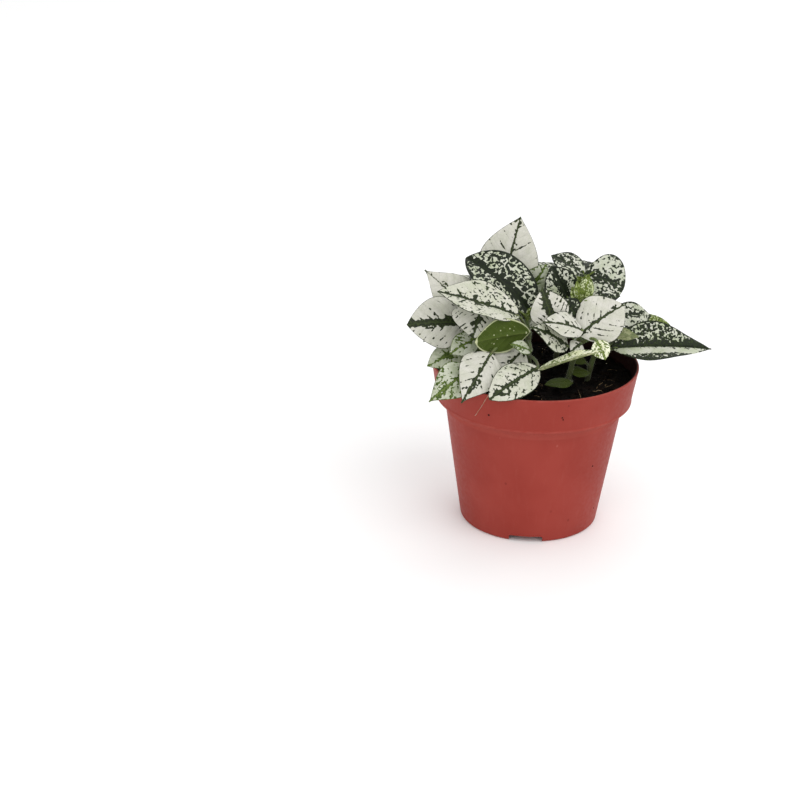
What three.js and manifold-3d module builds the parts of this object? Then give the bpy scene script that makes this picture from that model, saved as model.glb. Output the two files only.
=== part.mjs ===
// Potted polka dot plant: a plastic grower pot, its potting soil, and the leafy stems that stand in it.
// Millimetres, +Z up. The origin is on the pot's axis, on the plane that the pot stands on.
// The side with the widest view of the leaves faces -Y.

import * as THREE from 'three';
import { mergeVertices } from 'three/addons/utils/BufferGeometryUtils.js';
import Module from 'manifold-3d';

const wasm = await Module();
wasm.setup();

// Pot
const potHeight = 85;
const rimRadius = 52.5;
const collarHeight = 18.5;
const collarFootRadius = 49.6;
const shoulderDrop = 3.8;
const bodyTopRadius = 45.1;
const bodyFootRadius = 35.4;
const potWall = 1.2;
const lipRound = 0.6;
const lipEase = 0.2;
const collarBead = 0.25;
const footEase = 0.9;
const skirtHeight = 3.6;
const skirtRadius = 34.4;
const footRadius = 12;
const potSides = 60;
const drainCount = 8;
const drainRadius = 3.5;
const drainCircle = 24.5;
const notchCount = 3;
const notchWidth = 17;
const notchHeight = 3.3;
const notchTurn = -95;

// Soil
const clearance = 0.3;
const soilInset = 0.4;
const soilTop = 77;
const soilSides = 36;
const soilRings = 5;
const soilWaves = [
  { height: 0.5, alongX: 0.23, alongY: 0.19, start: 1.1 },
  { height: 0.35, alongX: 0.61, alongY: -0.47, start: 0.3 },
  { height: 0.3, alongX: 0.35, alongY: 0.83, start: 1.6 },
];

// Leaves
const bladeThickness = 0.7;
const bladeSteps = 5;
const bladeLanes = 4;
const smallBlade = 16;
const smallBladeSteps = 3;
const smallBladeLanes = 2;
const baseHalfWidth = 0.8;
const tipHalfWidth = 0.35;
const baseSwell = 0.75;
const tipTaper = 0.95;
const edgeDroop = 0.1;
const waveRate = 10;
const waveLag = 1.4;
const leafTurn = 2.4;

// Stalks
const petioleRadius = 0.85;
const smallPetioleRadius = 0.6;
const smallLeafWidth = 10;
const petioleSides = 4;
const petioleReach = 0.06;
const petioleRise = 0.6;
const petioleFlare = 1.1;
const petioleTaper = 0.85;
const leaveShare = 0.35;
const arriveShare = 0.3;
const longPetiole = 9;
const stemSides = 6;
const stemSteps = 7;

const weldReach = 1e-4;
const sliver = 0.02;

const potRed = 0xa0453d;
const soilBlack = 0x1d1612;
const leafCream = 0xc9cab8;
const leafMottled = 0x8b9478;

// A leaf: the height of its node on the stem, the start and tip of its blade, the way its upper side
// faces, its width, how far its midrib arches, the fold of its two halves in degrees, the wave of its
// edge, and how it tapers to its tip.
function leaf(node, from, to, faces, width, arch, fold, wave, taper = tipTaper) {
  return { node, from, to, faces, width, arch, fold, wave, taper };
}

// Each stem passes through its points from the bottom up, and is as thick as given there and at the top.
const shoots = {
  shoot_front_left: {
    stem: [[-3, -13, 63], [-4, -14, 84], [-5, -13, 102], [-6, -9, 112]],
    thick: [3.4, 1.8],
    colour: leafCream,
    leaves: [
      leaf(108, [-2.4, -3, 109.4], [-36.7, 8, 136.6], [1, -6, 7], 30, 7, 20, 0.8, 0.76),
      leaf(107, [-10.1, -20, 116.4], [-51.1, -23, 129.5], [-1, -4, 9], 26, 1, 20, 0.8),
      leaf(104, [-28, -13, 119], [-32.9, -25, 106], [-2, -6, 8], 28, 2, 6, 0.6, 1.1),
      leaf(103, [-5, -23, 109.7], [-32.3, -35, 108.2], [0.5, 9, 1], 19, 1, 6, 0.8, 0.7),
      leaf(104, [-24, -31, 101], [-38.5, -51, 82.5], [1, -7, 6], 22, 2, 5, 0.8, 1.35),
      leaf(97, [-8.1, -21, 98.8], [-24.4, -37, 85.3], [0, -8, 6], 18, 2, 8, 0.6, 1.1),
      leaf(93, [-0.5, -31, 93.8], [-25.3, -54, 85.9], [1, -7, 8], 19, 3, 6, 0.5, 0.8),
      leaf(101, [-4.6, -28, 101.1], [-15.1, -34, 106.9], [0, -6, 8], 8, 1, 8, 0.2),
      leaf(87, [-0.5, -32, 93.1], [29.6, -38, 106.1], [-1, 1, 9], 13, 0.5, 24, 0.5),
      leaf(111, [-6, -8, 113], [-1, -8, 115.6], [0, -8, 5], 5, 0.5, 20, 0),
    ],
  },
  shoot_front_right: {
    stem: [[14, -12, 63], [17, -13, 86], [21, -13, 108], [21, -6, 119]],
    thick: [3.2, 1.8],
    colour: leafCream,
    leaves: [
      leaf(107, [19.3, -18, 106.7], [41.7, -10, 119.9], [1, -7, 7], 26, 2, 6, 0.6, 0.85),
      leaf(107, [21.3, -20, 109.5], [0.5, -29, 116.9], [0, -6, 8], 15, 2, 6, 0.6),
      leaf(106, [7.1, -18, 111], [0.5, -14, 129.5], [0, -9, 3], 20, 1, 10, 0.5, 1.15),
      leaf(112, [19, -11, 114], [10, -13, 123], [0, -9, 4], 12, 1, 8, 0.3),
      leaf(118, [21, -5, 119], [25, 0, 131], [0, -9, 4], 9, 1, 20, 0.2),
      leaf(118, [20, -6, 119], [16, -5, 127], [3, -9, 2], 7, 0.5, 20, 0),
      leaf(117, [25.7, -4, 119.6], [40.6, -2, 121.6], [0, -6, 7], 8, 1, 10, 0.4),
      leaf(99, [14.3, -22, 101.7], [-5.2, -29, 114.4], [0, -6, 8], 16, 2, 6, 0.5, 1.2),
      leaf(101, [20.7, -20, 102.5], [15.4, -26, 100.4], [0, -7, 6], 9, 1, 6, 0.3),
      leaf(95, [22, -6, 97], [25, 14, 98], [0, 1, 9], 15, 3, 8, 0.5),
      leaf(80, [17.8, -18, 81.1], [3.7, -22, 81.2], [0, -2, 9], 9, 0.5, 4, 0.2),
      leaf(80, [16.5, -12, 84.3], [27.4, -9, 82.8], [0, -2, 9], 10, 0.5, 4, 0.2),
      leaf(100, [27.8, -24, 106.1], [32.4, -28, 97.6], [1, -7, 4], 10, 1, 6, 0.3),
    ],
  },
  shoot_right: {
    stem: [[25, -4, 63], [28, -5, 86], [33, -5, 102], [35, -2, 111]],
    thick: [3, 1.6],
    colour: leafMottled,
    leaves: [
      leaf(91, [37, -12, 97.5], [88, -4, 95], [0, -5, 8], 27, 2, 28, 0.9, 1.25),
      leaf(101, [46, 6, 106], [69, 8, 102], [0, -5, 8], 11, 1, 10, 0.4),
      leaf(107, [38, 1, 110], [58, 7, 108], [0, -7, 7], 15, 1, 8, 0.5),
      leaf(98, [34.6, -14, 105.6], [49.6, -16, 105.3], [0, 8, 5], 10, 1, 6, 0.4),
      leaf(92, [38, 4, 93], [64, 22, 91], [3, 2, 9], 21, 4, 8, 0.7),
      leaf(110, [35, -2, 112], [37, 1, 120], [0, -9, 2], 6, 0.5, 20, 0.2),
      leaf(84, [25, -8, 88], [15, -7, 91], [0, -3, 9], 8, 0.5, 4, 0.2),
    ],
  },
  shoot_left: {
    stem: [[-17, -4, 63], [-20, -4, 84], [-27, -4, 98], [-33, -2, 109]],
    thick: [3, 1.6],
    colour: leafCream,
    leaves: [
      leaf(108, [-32.3, -1, 111.8], [-57.2, 4, 131.2], [-3, -8, 5], 22, 2, 5, 0.7, 1.4),
      leaf(100, [-37.1, -5, 106.7], [-65.6, -13, 108.1], [-3, -8, 5], 27, 3, 6, 0.9),
      leaf(98, [-30, -14, 103], [-44, -22, 96.5], [-1, -7, 6], 13, 1, 6, 0.4),
      leaf(90, [-33, -32, 93], [-54, -43, 79.5], [0, -8, 6], 19, 3.5, 6, 0.5, 1.3),
      leaf(90, [-36, -8, 94], [-55, -20, 89], [-1, -7, 6], 14, 1, 6, 0.4),
      leaf(104, [-38, 6, 106], [-59, 19, 104], [-4, 2, 8], 22, 3, 8, 0.8),
      leaf(92, [-34, 4, 92], [-57, 13, 89], [-4, 3, 8], 22, 4, 8, 0.8),
      leaf(108.5, [-33, -2, 110], [-31, -1, 117], [0, -9, 2], 5, 0.5, 20, 0),
    ],
  },
  shoot_back_left: {
    stem: [[-6, 9, 63], [-8, 10, 90], [-13, 11, 110], [-13, 8, 121]],
    thick: [3.2, 1.8],
    colour: leafCream,
    leaves: [
      leaf(112, [-18.9, 12, 116], [-9.1, 26, 153.1], [1, -9, 3], 31, 1, 5, 0.9, 1.1),
      leaf(112, [-5, 12, 116], [4, 11, 133], [0, -9, 3], 14, 1, 8, 0.4),
      leaf(113, [-17, 17, 117], [-28, 40, 123], [-1, 2, 9], 24, 4, 8, 0.9, 1.2),
      leaf(108, [-9, 20, 112], [-5, 47, 112], [0, 5, 8], 25, 5, 8, 0.9),
      leaf(102, [-21, 16, 104], [-47, 33, 105], [-3, 4, 8], 25, 5, 8, 0.9),
      leaf(97, [-15, 24, 98], [-25, 51, 91], [-1, 7, 6], 23, 4, 8, 0.8, 1.2),
      leaf(88, [-5, 22, 92], [-4, 52, 88], [0, 6, 7], 21, 4, 8, 0.8),
      leaf(90, [-22, 17, 92], [-47, 35, 87], [-4, 5, 7], 20, 4, 8, 0.7, 1.2),
      leaf(111, [-21, 13, 113], [-45, 23, 120], [-2, 1, 9], 21, 4, 8, 0.8),
      leaf(120.5, [-13, 7, 122], [-11, 6, 131], [0, -9, 2], 6, 0.5, 20, 0),
      leaf(120.5, [-14, 9, 122], [-17, 11, 129], [3, -9, 2], 5, 0.5, 20, 0),
    ],
  },
  shoot_back_right: {
    stem: [[11, 14, 63], [13, 15, 92], [19, 14, 113], [24, 13, 125]],
    thick: [3.2, 1.8],
    colour: leafMottled,
    leaves: [
      leaf(113, [15, 4, 118], [6, 6, 134], [0, -9, 3], 17, 1, 8, 0.4),
      leaf(122, [24.1, 15, 126.2], [6.9, 20, 134.8], [0, -3, 9], 18, 1, 8, 0.4),
      leaf(122, [23.4, 13, 127.2], [43.7, 9, 122.5], [0, -7, 6], 29, 1, 14, 0.6, 0.65),
      leaf(120, [22, 20, 122], [33, 42, 122], [1, 4, 8], 24, 5, 8, 0.9),
      leaf(116, [13, 21, 119], [9, 48, 120], [0, 4, 8], 24, 5, 8, 0.9, 1.15),
      leaf(104, [27, 17, 106], [53, 29, 100], [3, 4, 8], 24, 5, 8, 0.9),
      leaf(103, [20, 24, 106], [29, 53, 100], [1, 6, 7], 24, 4, 8, 0.9),
      leaf(94, [14, 24, 97], [13, 55, 90], [0, 6, 7], 22, 4, 8, 0.8, 1.2),
      leaf(90, [24, 20, 93], [48, 40, 88], [3, 5, 7], 21, 4, 8, 0.8),
      leaf(103, [8, 8, 105], [-5, -2, 108], [0, -3, 9], 13, 2, 8, 0.4),
      leaf(124, [23.2, 8, 123.2], [24.9, 6, 129.9], [0, -9, 2], 6, 0.5, 20, 0),
      leaf(124, [22.8, 9, 122.7], [19.4, 8, 128], [3, -9, 2], 6, 0.5, 20, 0),
    ],
  },
};

const radians = THREE.MathUtils.degToRad;
const vector = (values) => new THREE.Vector3(...values);

// A closed mesh as a solid that can be joined and cut.
function solidOf(geometry) {
  const bare = geometry.clone();
  bare.deleteAttribute('normal');
  bare.deleteAttribute('uv');
  const welded = mergeVertices(bare, weldReach);
  const corners = Array.from(welded.index.array);
  const whole = [];
  for (let at = 0; at < corners.length; at += 3) {
    const [a, b, c] = corners.slice(at, at + 3);
    if (a !== b && b !== c && c !== a) whole.push(a, b, c);
  }
  return new wasm.Manifold(new wasm.Mesh({
    numProp: 3,
    vertProperties: new Float32Array(welded.attributes.position.array),
    triVerts: new Uint32Array(whole),
  }));
}

function geometryOf(solid) {
  const mesh = solid.getMesh();
  const geometry = new THREE.BufferGeometry();
  geometry.setAttribute('position', new THREE.BufferAttribute(mesh.vertProperties, 3));
  geometry.setIndex(new THREE.BufferAttribute(mesh.triVerts, 1));
  geometry.computeVertexNormals();
  return geometry;
}

function closedGeometry(points, triangles) {
  const geometry = new THREE.BufferGeometry();
  geometry.setAttribute('position', new THREE.Float32BufferAttribute(points.flatMap((p) => p.toArray()), 3));
  geometry.setIndex(triangles.flat());
  return geometry;
}

// A lathe turned about Z, from a closed profile of [radius, height] pairs.
function turned(profile, sides) {
  const outline = profile.map(([radius, height]) => new THREE.Vector2(radius, height));
  const lathe = new THREE.LatheGeometry(outline, sides);
  lathe.rotateX(Math.PI / 2);
  return lathe;
}

// A round rod along a curve, from one radius to the other, closed at both ends.
function rodSolid(curve, startRadius, endRadius, steps, sides) {
  const frames = curve.computeFrenetFrames(steps, false);
  const points = [];
  for (let step = 0; step <= steps; step += 1) {
    const share = step / steps;
    const centre = curve.getPointAt(share);
    const radius = THREE.MathUtils.lerp(startRadius, endRadius, share);
    for (let side = 0; side < sides; side += 1) {
      const turn = (2 * Math.PI * side) / sides;
      points.push(centre.clone()
        .addScaledVector(frames.normals[step], radius * Math.cos(turn))
        .addScaledVector(frames.binormals[step], radius * Math.sin(turn)));
    }
  }
  points.push(curve.getPointAt(0), curve.getPointAt(1));
  const startCentre = points.length - 2;
  const endCentre = points.length - 1;
  const triangles = [];
  for (let side = 0; side < sides; side += 1) {
    const next = (side + 1) % sides;
    for (let step = 0; step < steps; step += 1) {
      const low = step * sides;
      const high = low + sides;
      triangles.push([low + side, low + next, high + next]);
      triangles.push([low + side, high + next, high + side]);
    }
    triangles.push([startCentre, next, side]);
    triangles.push([endCentre, steps * sides + side, steps * sides + next]);
  }
  return solidOf(closedGeometry(points, triangles));
}

// The midrib runs from the start to the tip and bows towards the upper side.
function midribOf(blade) {
  const start = vector(blade.from);
  const tip = vector(blade.to);
  const chord = tip.clone().sub(start).normalize();
  const up = vector(blade.faces);
  up.addScaledVector(chord, -up.dot(chord)).normalize();
  const middle = start.clone().lerp(tip, 0.5).addScaledVector(up, 2 * blade.arch);
  return { curve: new THREE.QuadraticBezierCurve3(start, middle, tip), up };
}

// The outline swells from the base, is widest a little before half way and draws out to a point.
function outlineAt(share, taper) {
  return (share ** baseSwell) * ((1 - share) ** taper);
}

function halfWidthAt(blade, share) {
  const least = THREE.MathUtils.lerp(baseHalfWidth, tipHalfWidth, share);
  const widest = outlineAt(baseSwell / (baseSwell + blade.taper), blade.taper);
  return Math.max(least, (outlineAt(share, blade.taper) / widest) * (blade.width / 2));
}

// A point of the blade's middle surface: share runs from base to tip, across from -1 to 1.
function bladePoint(blade, midrib, share, across, phase) {
  const centre = midrib.curve.getPoint(share);
  const along = midrib.curve.getTangent(share);
  const up = midrib.up.clone().addScaledVector(along, -midrib.up.dot(along)).normalize();
  const side = along.clone().cross(up);
  const half = halfWidthAt(blade, share);
  const fold = radians(blade.fold);
  const lag = across > 0 ? 0 : waveLag;
  const ripple = Math.sin(waveRate * share + phase + lag) * Math.sqrt(Math.abs(Math.sin(Math.PI * share)));
  const foldRise = Math.abs(across) * half * Math.sin(fold);
  const edgeRise = across * across * (blade.wave * ripple - edgeDroop * half);
  return centre
    .addScaledVector(side, across * half * Math.cos(fold))
    .addScaledVector(up, foldRise + edgeRise);
}

// Both faces carry the same grid and the same triangles, half a thickness off the middle surface.
function bladeSolid(blade, phase) {
  const midrib = midribOf(blade);
  const small = vector(blade.from).distanceTo(vector(blade.to)) < smallBlade;
  const steps = small ? smallBladeSteps : bladeSteps;
  const lanes = small ? smallBladeLanes : bladeLanes;
  const shares = [];
  for (let step = 0; step <= steps; step += 1) {
    const even = step / steps;
    shares.push((even + (1 - Math.cos(Math.PI * even)) / 2) / 2);
  }
  const place = (step, lane) => bladePoint(blade, midrib, shares[step], (2 * lane) / lanes - 1, phase);
  const upper = [];
  const lower = [];
  for (let step = 0; step <= steps; step += 1) {
    for (let lane = 0; lane <= lanes; lane += 1) {
      const here = place(step, lane);
      const along = place(Math.min(step + 1, steps), lane).sub(place(Math.max(step - 1, 0), lane));
      const across = place(step, Math.min(lane + 1, lanes)).sub(place(step, Math.max(lane - 1, 0)));
      const normal = across.cross(along).normalize();
      upper.push(here.clone().addScaledVector(normal, bladeThickness / 2));
      lower.push(here.clone().addScaledVector(normal, -bladeThickness / 2));
    }
  }
  const row = lanes + 1;
  const under = upper.length;
  const triangles = [];
  for (let step = 0; step < steps; step += 1) {
    for (let lane = 0; lane < lanes; lane += 1) {
      const a = step * row + lane;
      const b = a + 1;
      const c = a + row;
      const d = c + 1;
      triangles.push([a, b, d], [a, d, c]);
      triangles.push([under + a, under + d, under + b], [under + a, under + c, under + d]);
    }
  }
  const rim = [];
  for (let lane = 0; lane < lanes; lane += 1) rim.push(lane);
  for (let step = 0; step < steps; step += 1) rim.push(step * row + lanes);
  for (let lane = lanes; lane > 0; lane -= 1) rim.push(steps * row + lane);
  for (let step = steps; step > 0; step -= 1) rim.push(step * row);
  rim.forEach((here, index) => {
    const next = rim[(index + 1) % rim.length];
    triangles.push([here, under + next, next], [here, under + here, under + next]);
  });
  return solidOf(closedGeometry(upper.concat(lower), triangles));
}

// The point of a stem at a height, found by halving.
function stemPoint(curve, height) {
  let low = 0;
  let high = 1;
  for (let turn = 0; turn < 24; turn += 1) {
    const middle = (low + high) / 2;
    if (curve.getPoint(middle).z < height) low = middle;
    else high = middle;
  }
  return curve.getPoint(low);
}

// A leaf's stalk leaves the stem outwards and upwards and runs on into the midrib.
function petioleSolid(stemCurve, blade) {
  const midrib = midribOf(blade);
  const root = stemPoint(stemCurve, blade.node);
  const end = midrib.curve.getPoint(petioleReach);
  const length = root.distanceTo(end);
  const out = end.clone().sub(root).setZ(0).normalize().setZ(petioleRise).normalize();
  const leave = root.clone().addScaledVector(out, length * leaveShare);
  const arrive = end.clone().addScaledVector(midrib.curve.getTangent(0), -length * arriveShare);
  const curve = new THREE.CubicBezierCurve3(root, leave, arrive, end);
  const steps = length > longPetiole ? 3 : 2;
  const radius = blade.width < smallLeafWidth ? smallPetioleRadius : petioleRadius;
  return rodSolid(curve, radius * petioleFlare, radius * petioleTaper, steps, petioleSides);
}

function shootSolid(shoot, shootIndex) {
  const curve = new THREE.CatmullRomCurve3(shoot.stem.map(vector));
  const pieces = [rodSolid(curve, shoot.thick[0] / 2, shoot.thick[1] / 2, stemSteps, stemSides)];
  shoot.leaves.forEach((blade, bladeIndex) => {
    pieces.push(bladeSolid(blade, leafTurn * bladeIndex + shootIndex));
    pieces.push(petioleSolid(curve, blade));
  });
  return pieces.reduce((joined, piece) => joined.add(piece)).asOriginal().simplify(sliver);
}

// The pot's wall, from the middle of its underside outwards, up the outside, over the lip and down
// the inside. A skirt carries the rim of the floor, and the middle of the floor dips to the ground.
function potSolid() {
  const floorTop = skirtHeight + potWall;
  const collarFoot = potHeight - collarHeight;
  const bodyTop = collarFoot - shoulderDrop;
  const innerTop = rimRadius - potWall;
  const profile = [
    [0, 0],
    [footRadius, 0],
    [footRadius + skirtHeight, skirtHeight],
    [skirtRadius - potWall, skirtHeight],
    [skirtRadius - potWall, 0],
    [skirtRadius, 0],
    [bodyFootRadius, footEase],
    [bodyTopRadius, bodyTop],
    [collarFootRadius, collarFoot],
    [collarFootRadius + collarBead, collarFoot + collarBead],
    [collarFootRadius + collarBead, collarFoot + 4 * collarBead],
    [rimRadius, potHeight - lipRound],
    [rimRadius - lipEase, potHeight - lipEase],
    [rimRadius - lipRound, potHeight],
    [innerTop + lipEase, potHeight - lipEase],
    [innerTop, potHeight - lipRound],
    [collarFootRadius - potWall, collarFoot + potWall / 2],
    [bodyTopRadius - potWall, bodyTop + potWall / 2],
    [skirtRadius - potWall / 3, floorTop],
    [footRadius + skirtHeight + potWall / 2, floorTop],
    [footRadius + potWall / 2, potWall],
    [0, potWall],
  ];
  let pot = solidOf(turned(profile, potSides));
  for (let index = 0; index < drainCount; index += 1) {
    const turn = (2 * Math.PI * index) / drainCount;
    const hole = new THREE.CylinderGeometry(drainRadius, drainRadius, 4 * potWall, 12);
    hole.rotateX(Math.PI / 2);
    hole.translate(drainCircle * Math.cos(turn), drainCircle * Math.sin(turn), skirtHeight + potWall / 2);
    pot = pot.subtract(solidOf(hole));
  }
  for (let index = 0; index < notchCount; index += 1) {
    const notch = new THREE.BoxGeometry(8, notchWidth, 2 * notchHeight);
    notch.translate(skirtRadius, 0, 0);
    notch.rotateZ(radians(notchTurn) + (2 * Math.PI * index) / notchCount);
    pot = pot.subtract(solidOf(notch));
  }
  return pot.asOriginal().simplify(sliver);
}

// Crossing waves lift and lower the loose surface of the soil.
function soilHeight(x, y) {
  return soilWaves.reduce((sum, wave) => {
    const angle = wave.alongX * x + wave.alongY * y + wave.start;
    return sum + wave.height * Math.sin(angle);
  }, soilTop);
}

// The soil fills the pot from its floor up, a little clear of the wall, with a hole for each stem.
function soilSolid() {
  const floorTop = skirtHeight + potWall;
  const collarFoot = potHeight - collarHeight;
  const bodyTop = collarFoot - shoulderDrop;
  const collarInside = collarFootRadius - potWall;
  const innerFoot = collarFoot + potWall / 2;
  const wallSlope = (rimRadius - collarFootRadius) / (potHeight - lipRound - innerFoot);
  const lowestTop = soilWaves.reduce((low, wave) => low - wave.height, soilTop);
  const surfaceRadius = collarInside + wallSlope * (lowestTop - innerFoot) - soilInset;
  const profile = [
    [0, potWall + clearance],
    [footRadius, potWall + clearance],
    [footRadius + skirtHeight, floorTop + clearance],
    [skirtRadius - potWall / 3 - soilInset, floorTop + clearance],
    [bodyTopRadius - potWall - soilInset, bodyTop + potWall / 2 + clearance],
    [collarInside - soilInset, innerFoot + clearance],
  ];
  for (let ring = soilRings; ring >= 0; ring -= 1) {
    profile.push([(surfaceRadius * ring) / soilRings, soilTop]);
  }
  const body = turned(profile, soilSides);
  const places = body.attributes.position;
  for (let index = 0; index < places.count; index += 1) {
    if (places.getZ(index) > soilTop - weldReach) {
      places.setZ(index, soilHeight(places.getX(index), places.getY(index)));
    }
  }
  let soil = solidOf(body);
  Object.values(shoots).forEach((shoot) => {
    const route = shoot.stem.map(vector);
    route[0].z -= clearance;
    const [holeFoot, holeTop] = shoot.thick.map((across) => across / 2 + clearance);
    const hole = rodSolid(new THREE.CatmullRomCurve3(route), holeFoot, holeTop, stemSteps, stemSides);
    soil = soil.subtract(hole);
  });
  return soil.asOriginal().simplify(sliver);
}

const group = new THREE.Group();

function addPiece(name, solid, colour, roughness) {
  const material = new THREE.MeshStandardMaterial({ color: colour, roughness, metalness: 0 });
  const mesh = new THREE.Mesh(geometryOf(solid), material);
  mesh.name = name;
  group.add(mesh);
}

addPiece('pot', potSolid(), potRed, 0.5);
addPiece('soil', soilSolid(), soilBlack, 0.95);
Object.entries(shoots).forEach(([name, shoot], index) => {
  addPiece(name, shootSolid(shoot, index), shoot.colour, 0.55);
});

export default group;
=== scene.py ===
import math
import random

import bmesh
import bpy
import numpy as np
from mathutils import Matrix, Vector, noise


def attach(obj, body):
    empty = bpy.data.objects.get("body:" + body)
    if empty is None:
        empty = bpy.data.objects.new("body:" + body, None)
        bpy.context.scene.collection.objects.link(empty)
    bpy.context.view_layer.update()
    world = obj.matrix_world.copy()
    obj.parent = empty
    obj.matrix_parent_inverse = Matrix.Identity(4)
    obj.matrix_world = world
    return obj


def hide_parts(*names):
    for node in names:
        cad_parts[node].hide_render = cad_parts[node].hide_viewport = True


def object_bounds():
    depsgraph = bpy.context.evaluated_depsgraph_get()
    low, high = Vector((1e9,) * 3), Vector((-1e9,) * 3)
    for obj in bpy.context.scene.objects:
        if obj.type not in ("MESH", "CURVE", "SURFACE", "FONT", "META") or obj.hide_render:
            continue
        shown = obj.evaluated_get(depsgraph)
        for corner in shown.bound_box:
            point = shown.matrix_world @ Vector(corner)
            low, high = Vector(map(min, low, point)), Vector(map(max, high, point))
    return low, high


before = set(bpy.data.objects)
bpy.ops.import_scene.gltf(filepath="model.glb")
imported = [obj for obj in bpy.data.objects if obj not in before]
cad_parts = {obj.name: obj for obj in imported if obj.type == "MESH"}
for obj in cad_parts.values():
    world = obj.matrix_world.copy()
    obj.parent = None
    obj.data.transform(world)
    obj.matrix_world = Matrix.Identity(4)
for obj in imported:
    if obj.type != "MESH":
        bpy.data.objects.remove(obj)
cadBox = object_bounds()
print("frame loaded:", ", ".join(sorted(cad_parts)))

mm = 0.001
random.seed(41)


def newObject(name, data):
    thing = bpy.data.objects.new(name, data)
    bpy.context.scene.collection.objects.link(thing)
    return thing


# Camera at the photograph's angle
cameraSettings = {
    "place": (-68.2, -919.7, 450.8),  # mm
    "pitchDown": 0.400,  # radians below level
    "roll": 0.021,
    "lens": 87.73,
    "sensor": 36,
    "clip": (0.01, 20),
}


def makeCamera(settings):
    camera = newObject("camera", bpy.data.cameras.new("camera"))
    camera.data.lens = settings["lens"]
    camera.data.sensor_width = settings["sensor"]
    camera.data.clip_start, camera.data.clip_end = settings["clip"]
    tilt = Matrix.Rotation(math.pi / 2 - settings["pitchDown"], 4, "X")
    turn = Matrix.Rotation(settings["roll"], 4, "Z")
    place = Matrix.Translation(Vector(settings["place"]) * mm)
    camera.matrix_world = place @ tilt @ turn
    bpy.context.scene.camera = camera


makeCamera(cameraSettings)
print("camera made")


# Shader helpers: every value may be a socket or a number
def paint(red, green, blue):
    # a colour as it looks on screen, from 0 to 255
    channels = []
    for value in (red, green, blue):
        share = value / 255
        channels.append(share / 12.92 if share <= 0.04045 else ((share + 0.055) / 1.055) ** 2.4)
    return (*channels, 1.0)


def newMaterial(name):
    material = bpy.data.materials.new(name)
    material.use_nodes = True
    tree = material.node_tree
    return material, tree, tree.nodes["Principled BSDF"]


def isSocket(value):
    return isinstance(value, bpy.types.NodeSocket)


def feed(node, inputs):
    for place, value in inputs.items():
        if isSocket(value):
            node.id_data.links.new(value, node.inputs[place])
        else:
            node.inputs[place].default_value = value


def addNode(kind, inputs, **settings):
    # a node in the same tree as the sockets that feed it
    tree = next(value.id_data for value in inputs.values() if isSocket(value))
    node = tree.nodes.new("ShaderNode" + kind)
    for name, setting in settings.items():
        setattr(node, name, setting)
    feed(node, inputs)
    return node.outputs


def calc(operation, *values):
    return addNode("Math", dict(enumerate(values)), operation=operation)[0]


def times(first, second):
    return calc("MULTIPLY", first, second)


def plus(first, second):
    return calc("ADD", first, second)


def minus(first, second):
    return calc("SUBTRACT", first, second)


def rise(value, low, high, start=0.0, end=1.0):
    # a smooth step from start, where the value is low, to end, where it is high
    levels = dict(enumerate((value, low, high, start, end)))
    return addNode("MapRange", levels, interpolation_type="SMOOTHSTEP")[0]


def mixed(share, first, second):
    return addNode("Mix", {"Factor": share, 6: first, 7: second}, data_type="RGBA")[2]


def layered(colour, layers):
    # other colours laid over a first one, each with its share
    for share, tone in layers:
        colour = mixed(share, colour, tone)
    return colour


def cloudy(vector, scale, detail=2.0, rough=0.5, distort=0.0):
    inputs = {"Vector": vector, "Scale": scale, "Detail": detail, "Roughness": rough, "Distortion": distort}
    return addNode("TexNoise", inputs)["Fac"]


def cells(vector, scale, feature="F1"):
    return addNode("TexVoronoi", {"Vector": vector, "Scale": scale}, feature=feature)["Distance"]


def combined(x, y, z):
    return addNode("CombineXYZ", {0: x, 1: y, 2: z})[0]


def parted(vector):
    return addNode("SeparateXYZ", {0: vector})


def stored(tree, name):
    node = tree.nodes.new("ShaderNodeAttribute")
    node.attribute_name = name
    return node.outputs["Vector"]


def inPlace(tree, stretch=(1, 1, 1)):
    # the point in the part's own frame, in millimetres
    where = tree.nodes.new("ShaderNodeTexCoord").outputs["Object"]
    scale = [1000 * share for share in stretch]
    return addNode("VectorMath", {0: where, 1: scale}, operation="MULTIPLY")[0]


def bumped(shader, height, strength, depth):
    relief = addNode("Bump", {"Strength": strength, "Distance": depth * mm, "Height": height})[0]
    feed(shader, {"Normal": relief})


# Mesh helpers: points come in millimetres
def storeValues(mesh, name, rows):
    layer = mesh.attributes.new(name, "FLOAT_VECTOR", "POINT")
    layer.data.foreach_set("vector", np.asarray(rows, np.float32).ravel())


def makePiece(name, points, faces, materials, slotName, node, faceSlots=None, values=None, sharp=None):
    mesh = bpy.data.meshes.new(name)
    mesh.from_pydata((np.asarray(points, float) * mm).tolist(), [], faces)
    for material in materials:
        mesh.materials.append(material)
    if faceSlots is not None:
        mesh.polygons.foreach_set("material_index", np.asarray(faceSlots, np.int32))
    for label, rows in (values or {}).items():
        storeValues(mesh, label, rows)
    mesh.shade_smooth()
    if sharp:
        mesh.set_sharp_from_angle(angle=math.radians(sharp))
    mesh.update()
    piece = newObject(name, mesh)
    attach(piece, "root")
    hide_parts(node)
    return piece


def joined(parts):
    # many small shapes as one; each part is its points and its faces
    points = []
    faces = []
    for corners, sides in parts:
        first = len(points)
        points += np.asarray(corners, float).tolist()
        faces += [tuple(first + corner for corner in face) for face in sides]
    return points, faces


def polar(radius, turn, height=0.0):
    return radius * math.cos(turn), radius * math.sin(turn), height


def unit(rows):
    return rows / np.linalg.norm(rows, axis=-1, keepdims=True)


def ringFaces(rings, sides):
    # the faces between rings of corners
    faces = []
    for ring in range(rings - 1):
        low = ring * sides
        for side in range(sides):
            after = (side + 1) % sides
            faces.append((low + side, low + after, low + sides + after, low + sides + side))
    return faces


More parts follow.
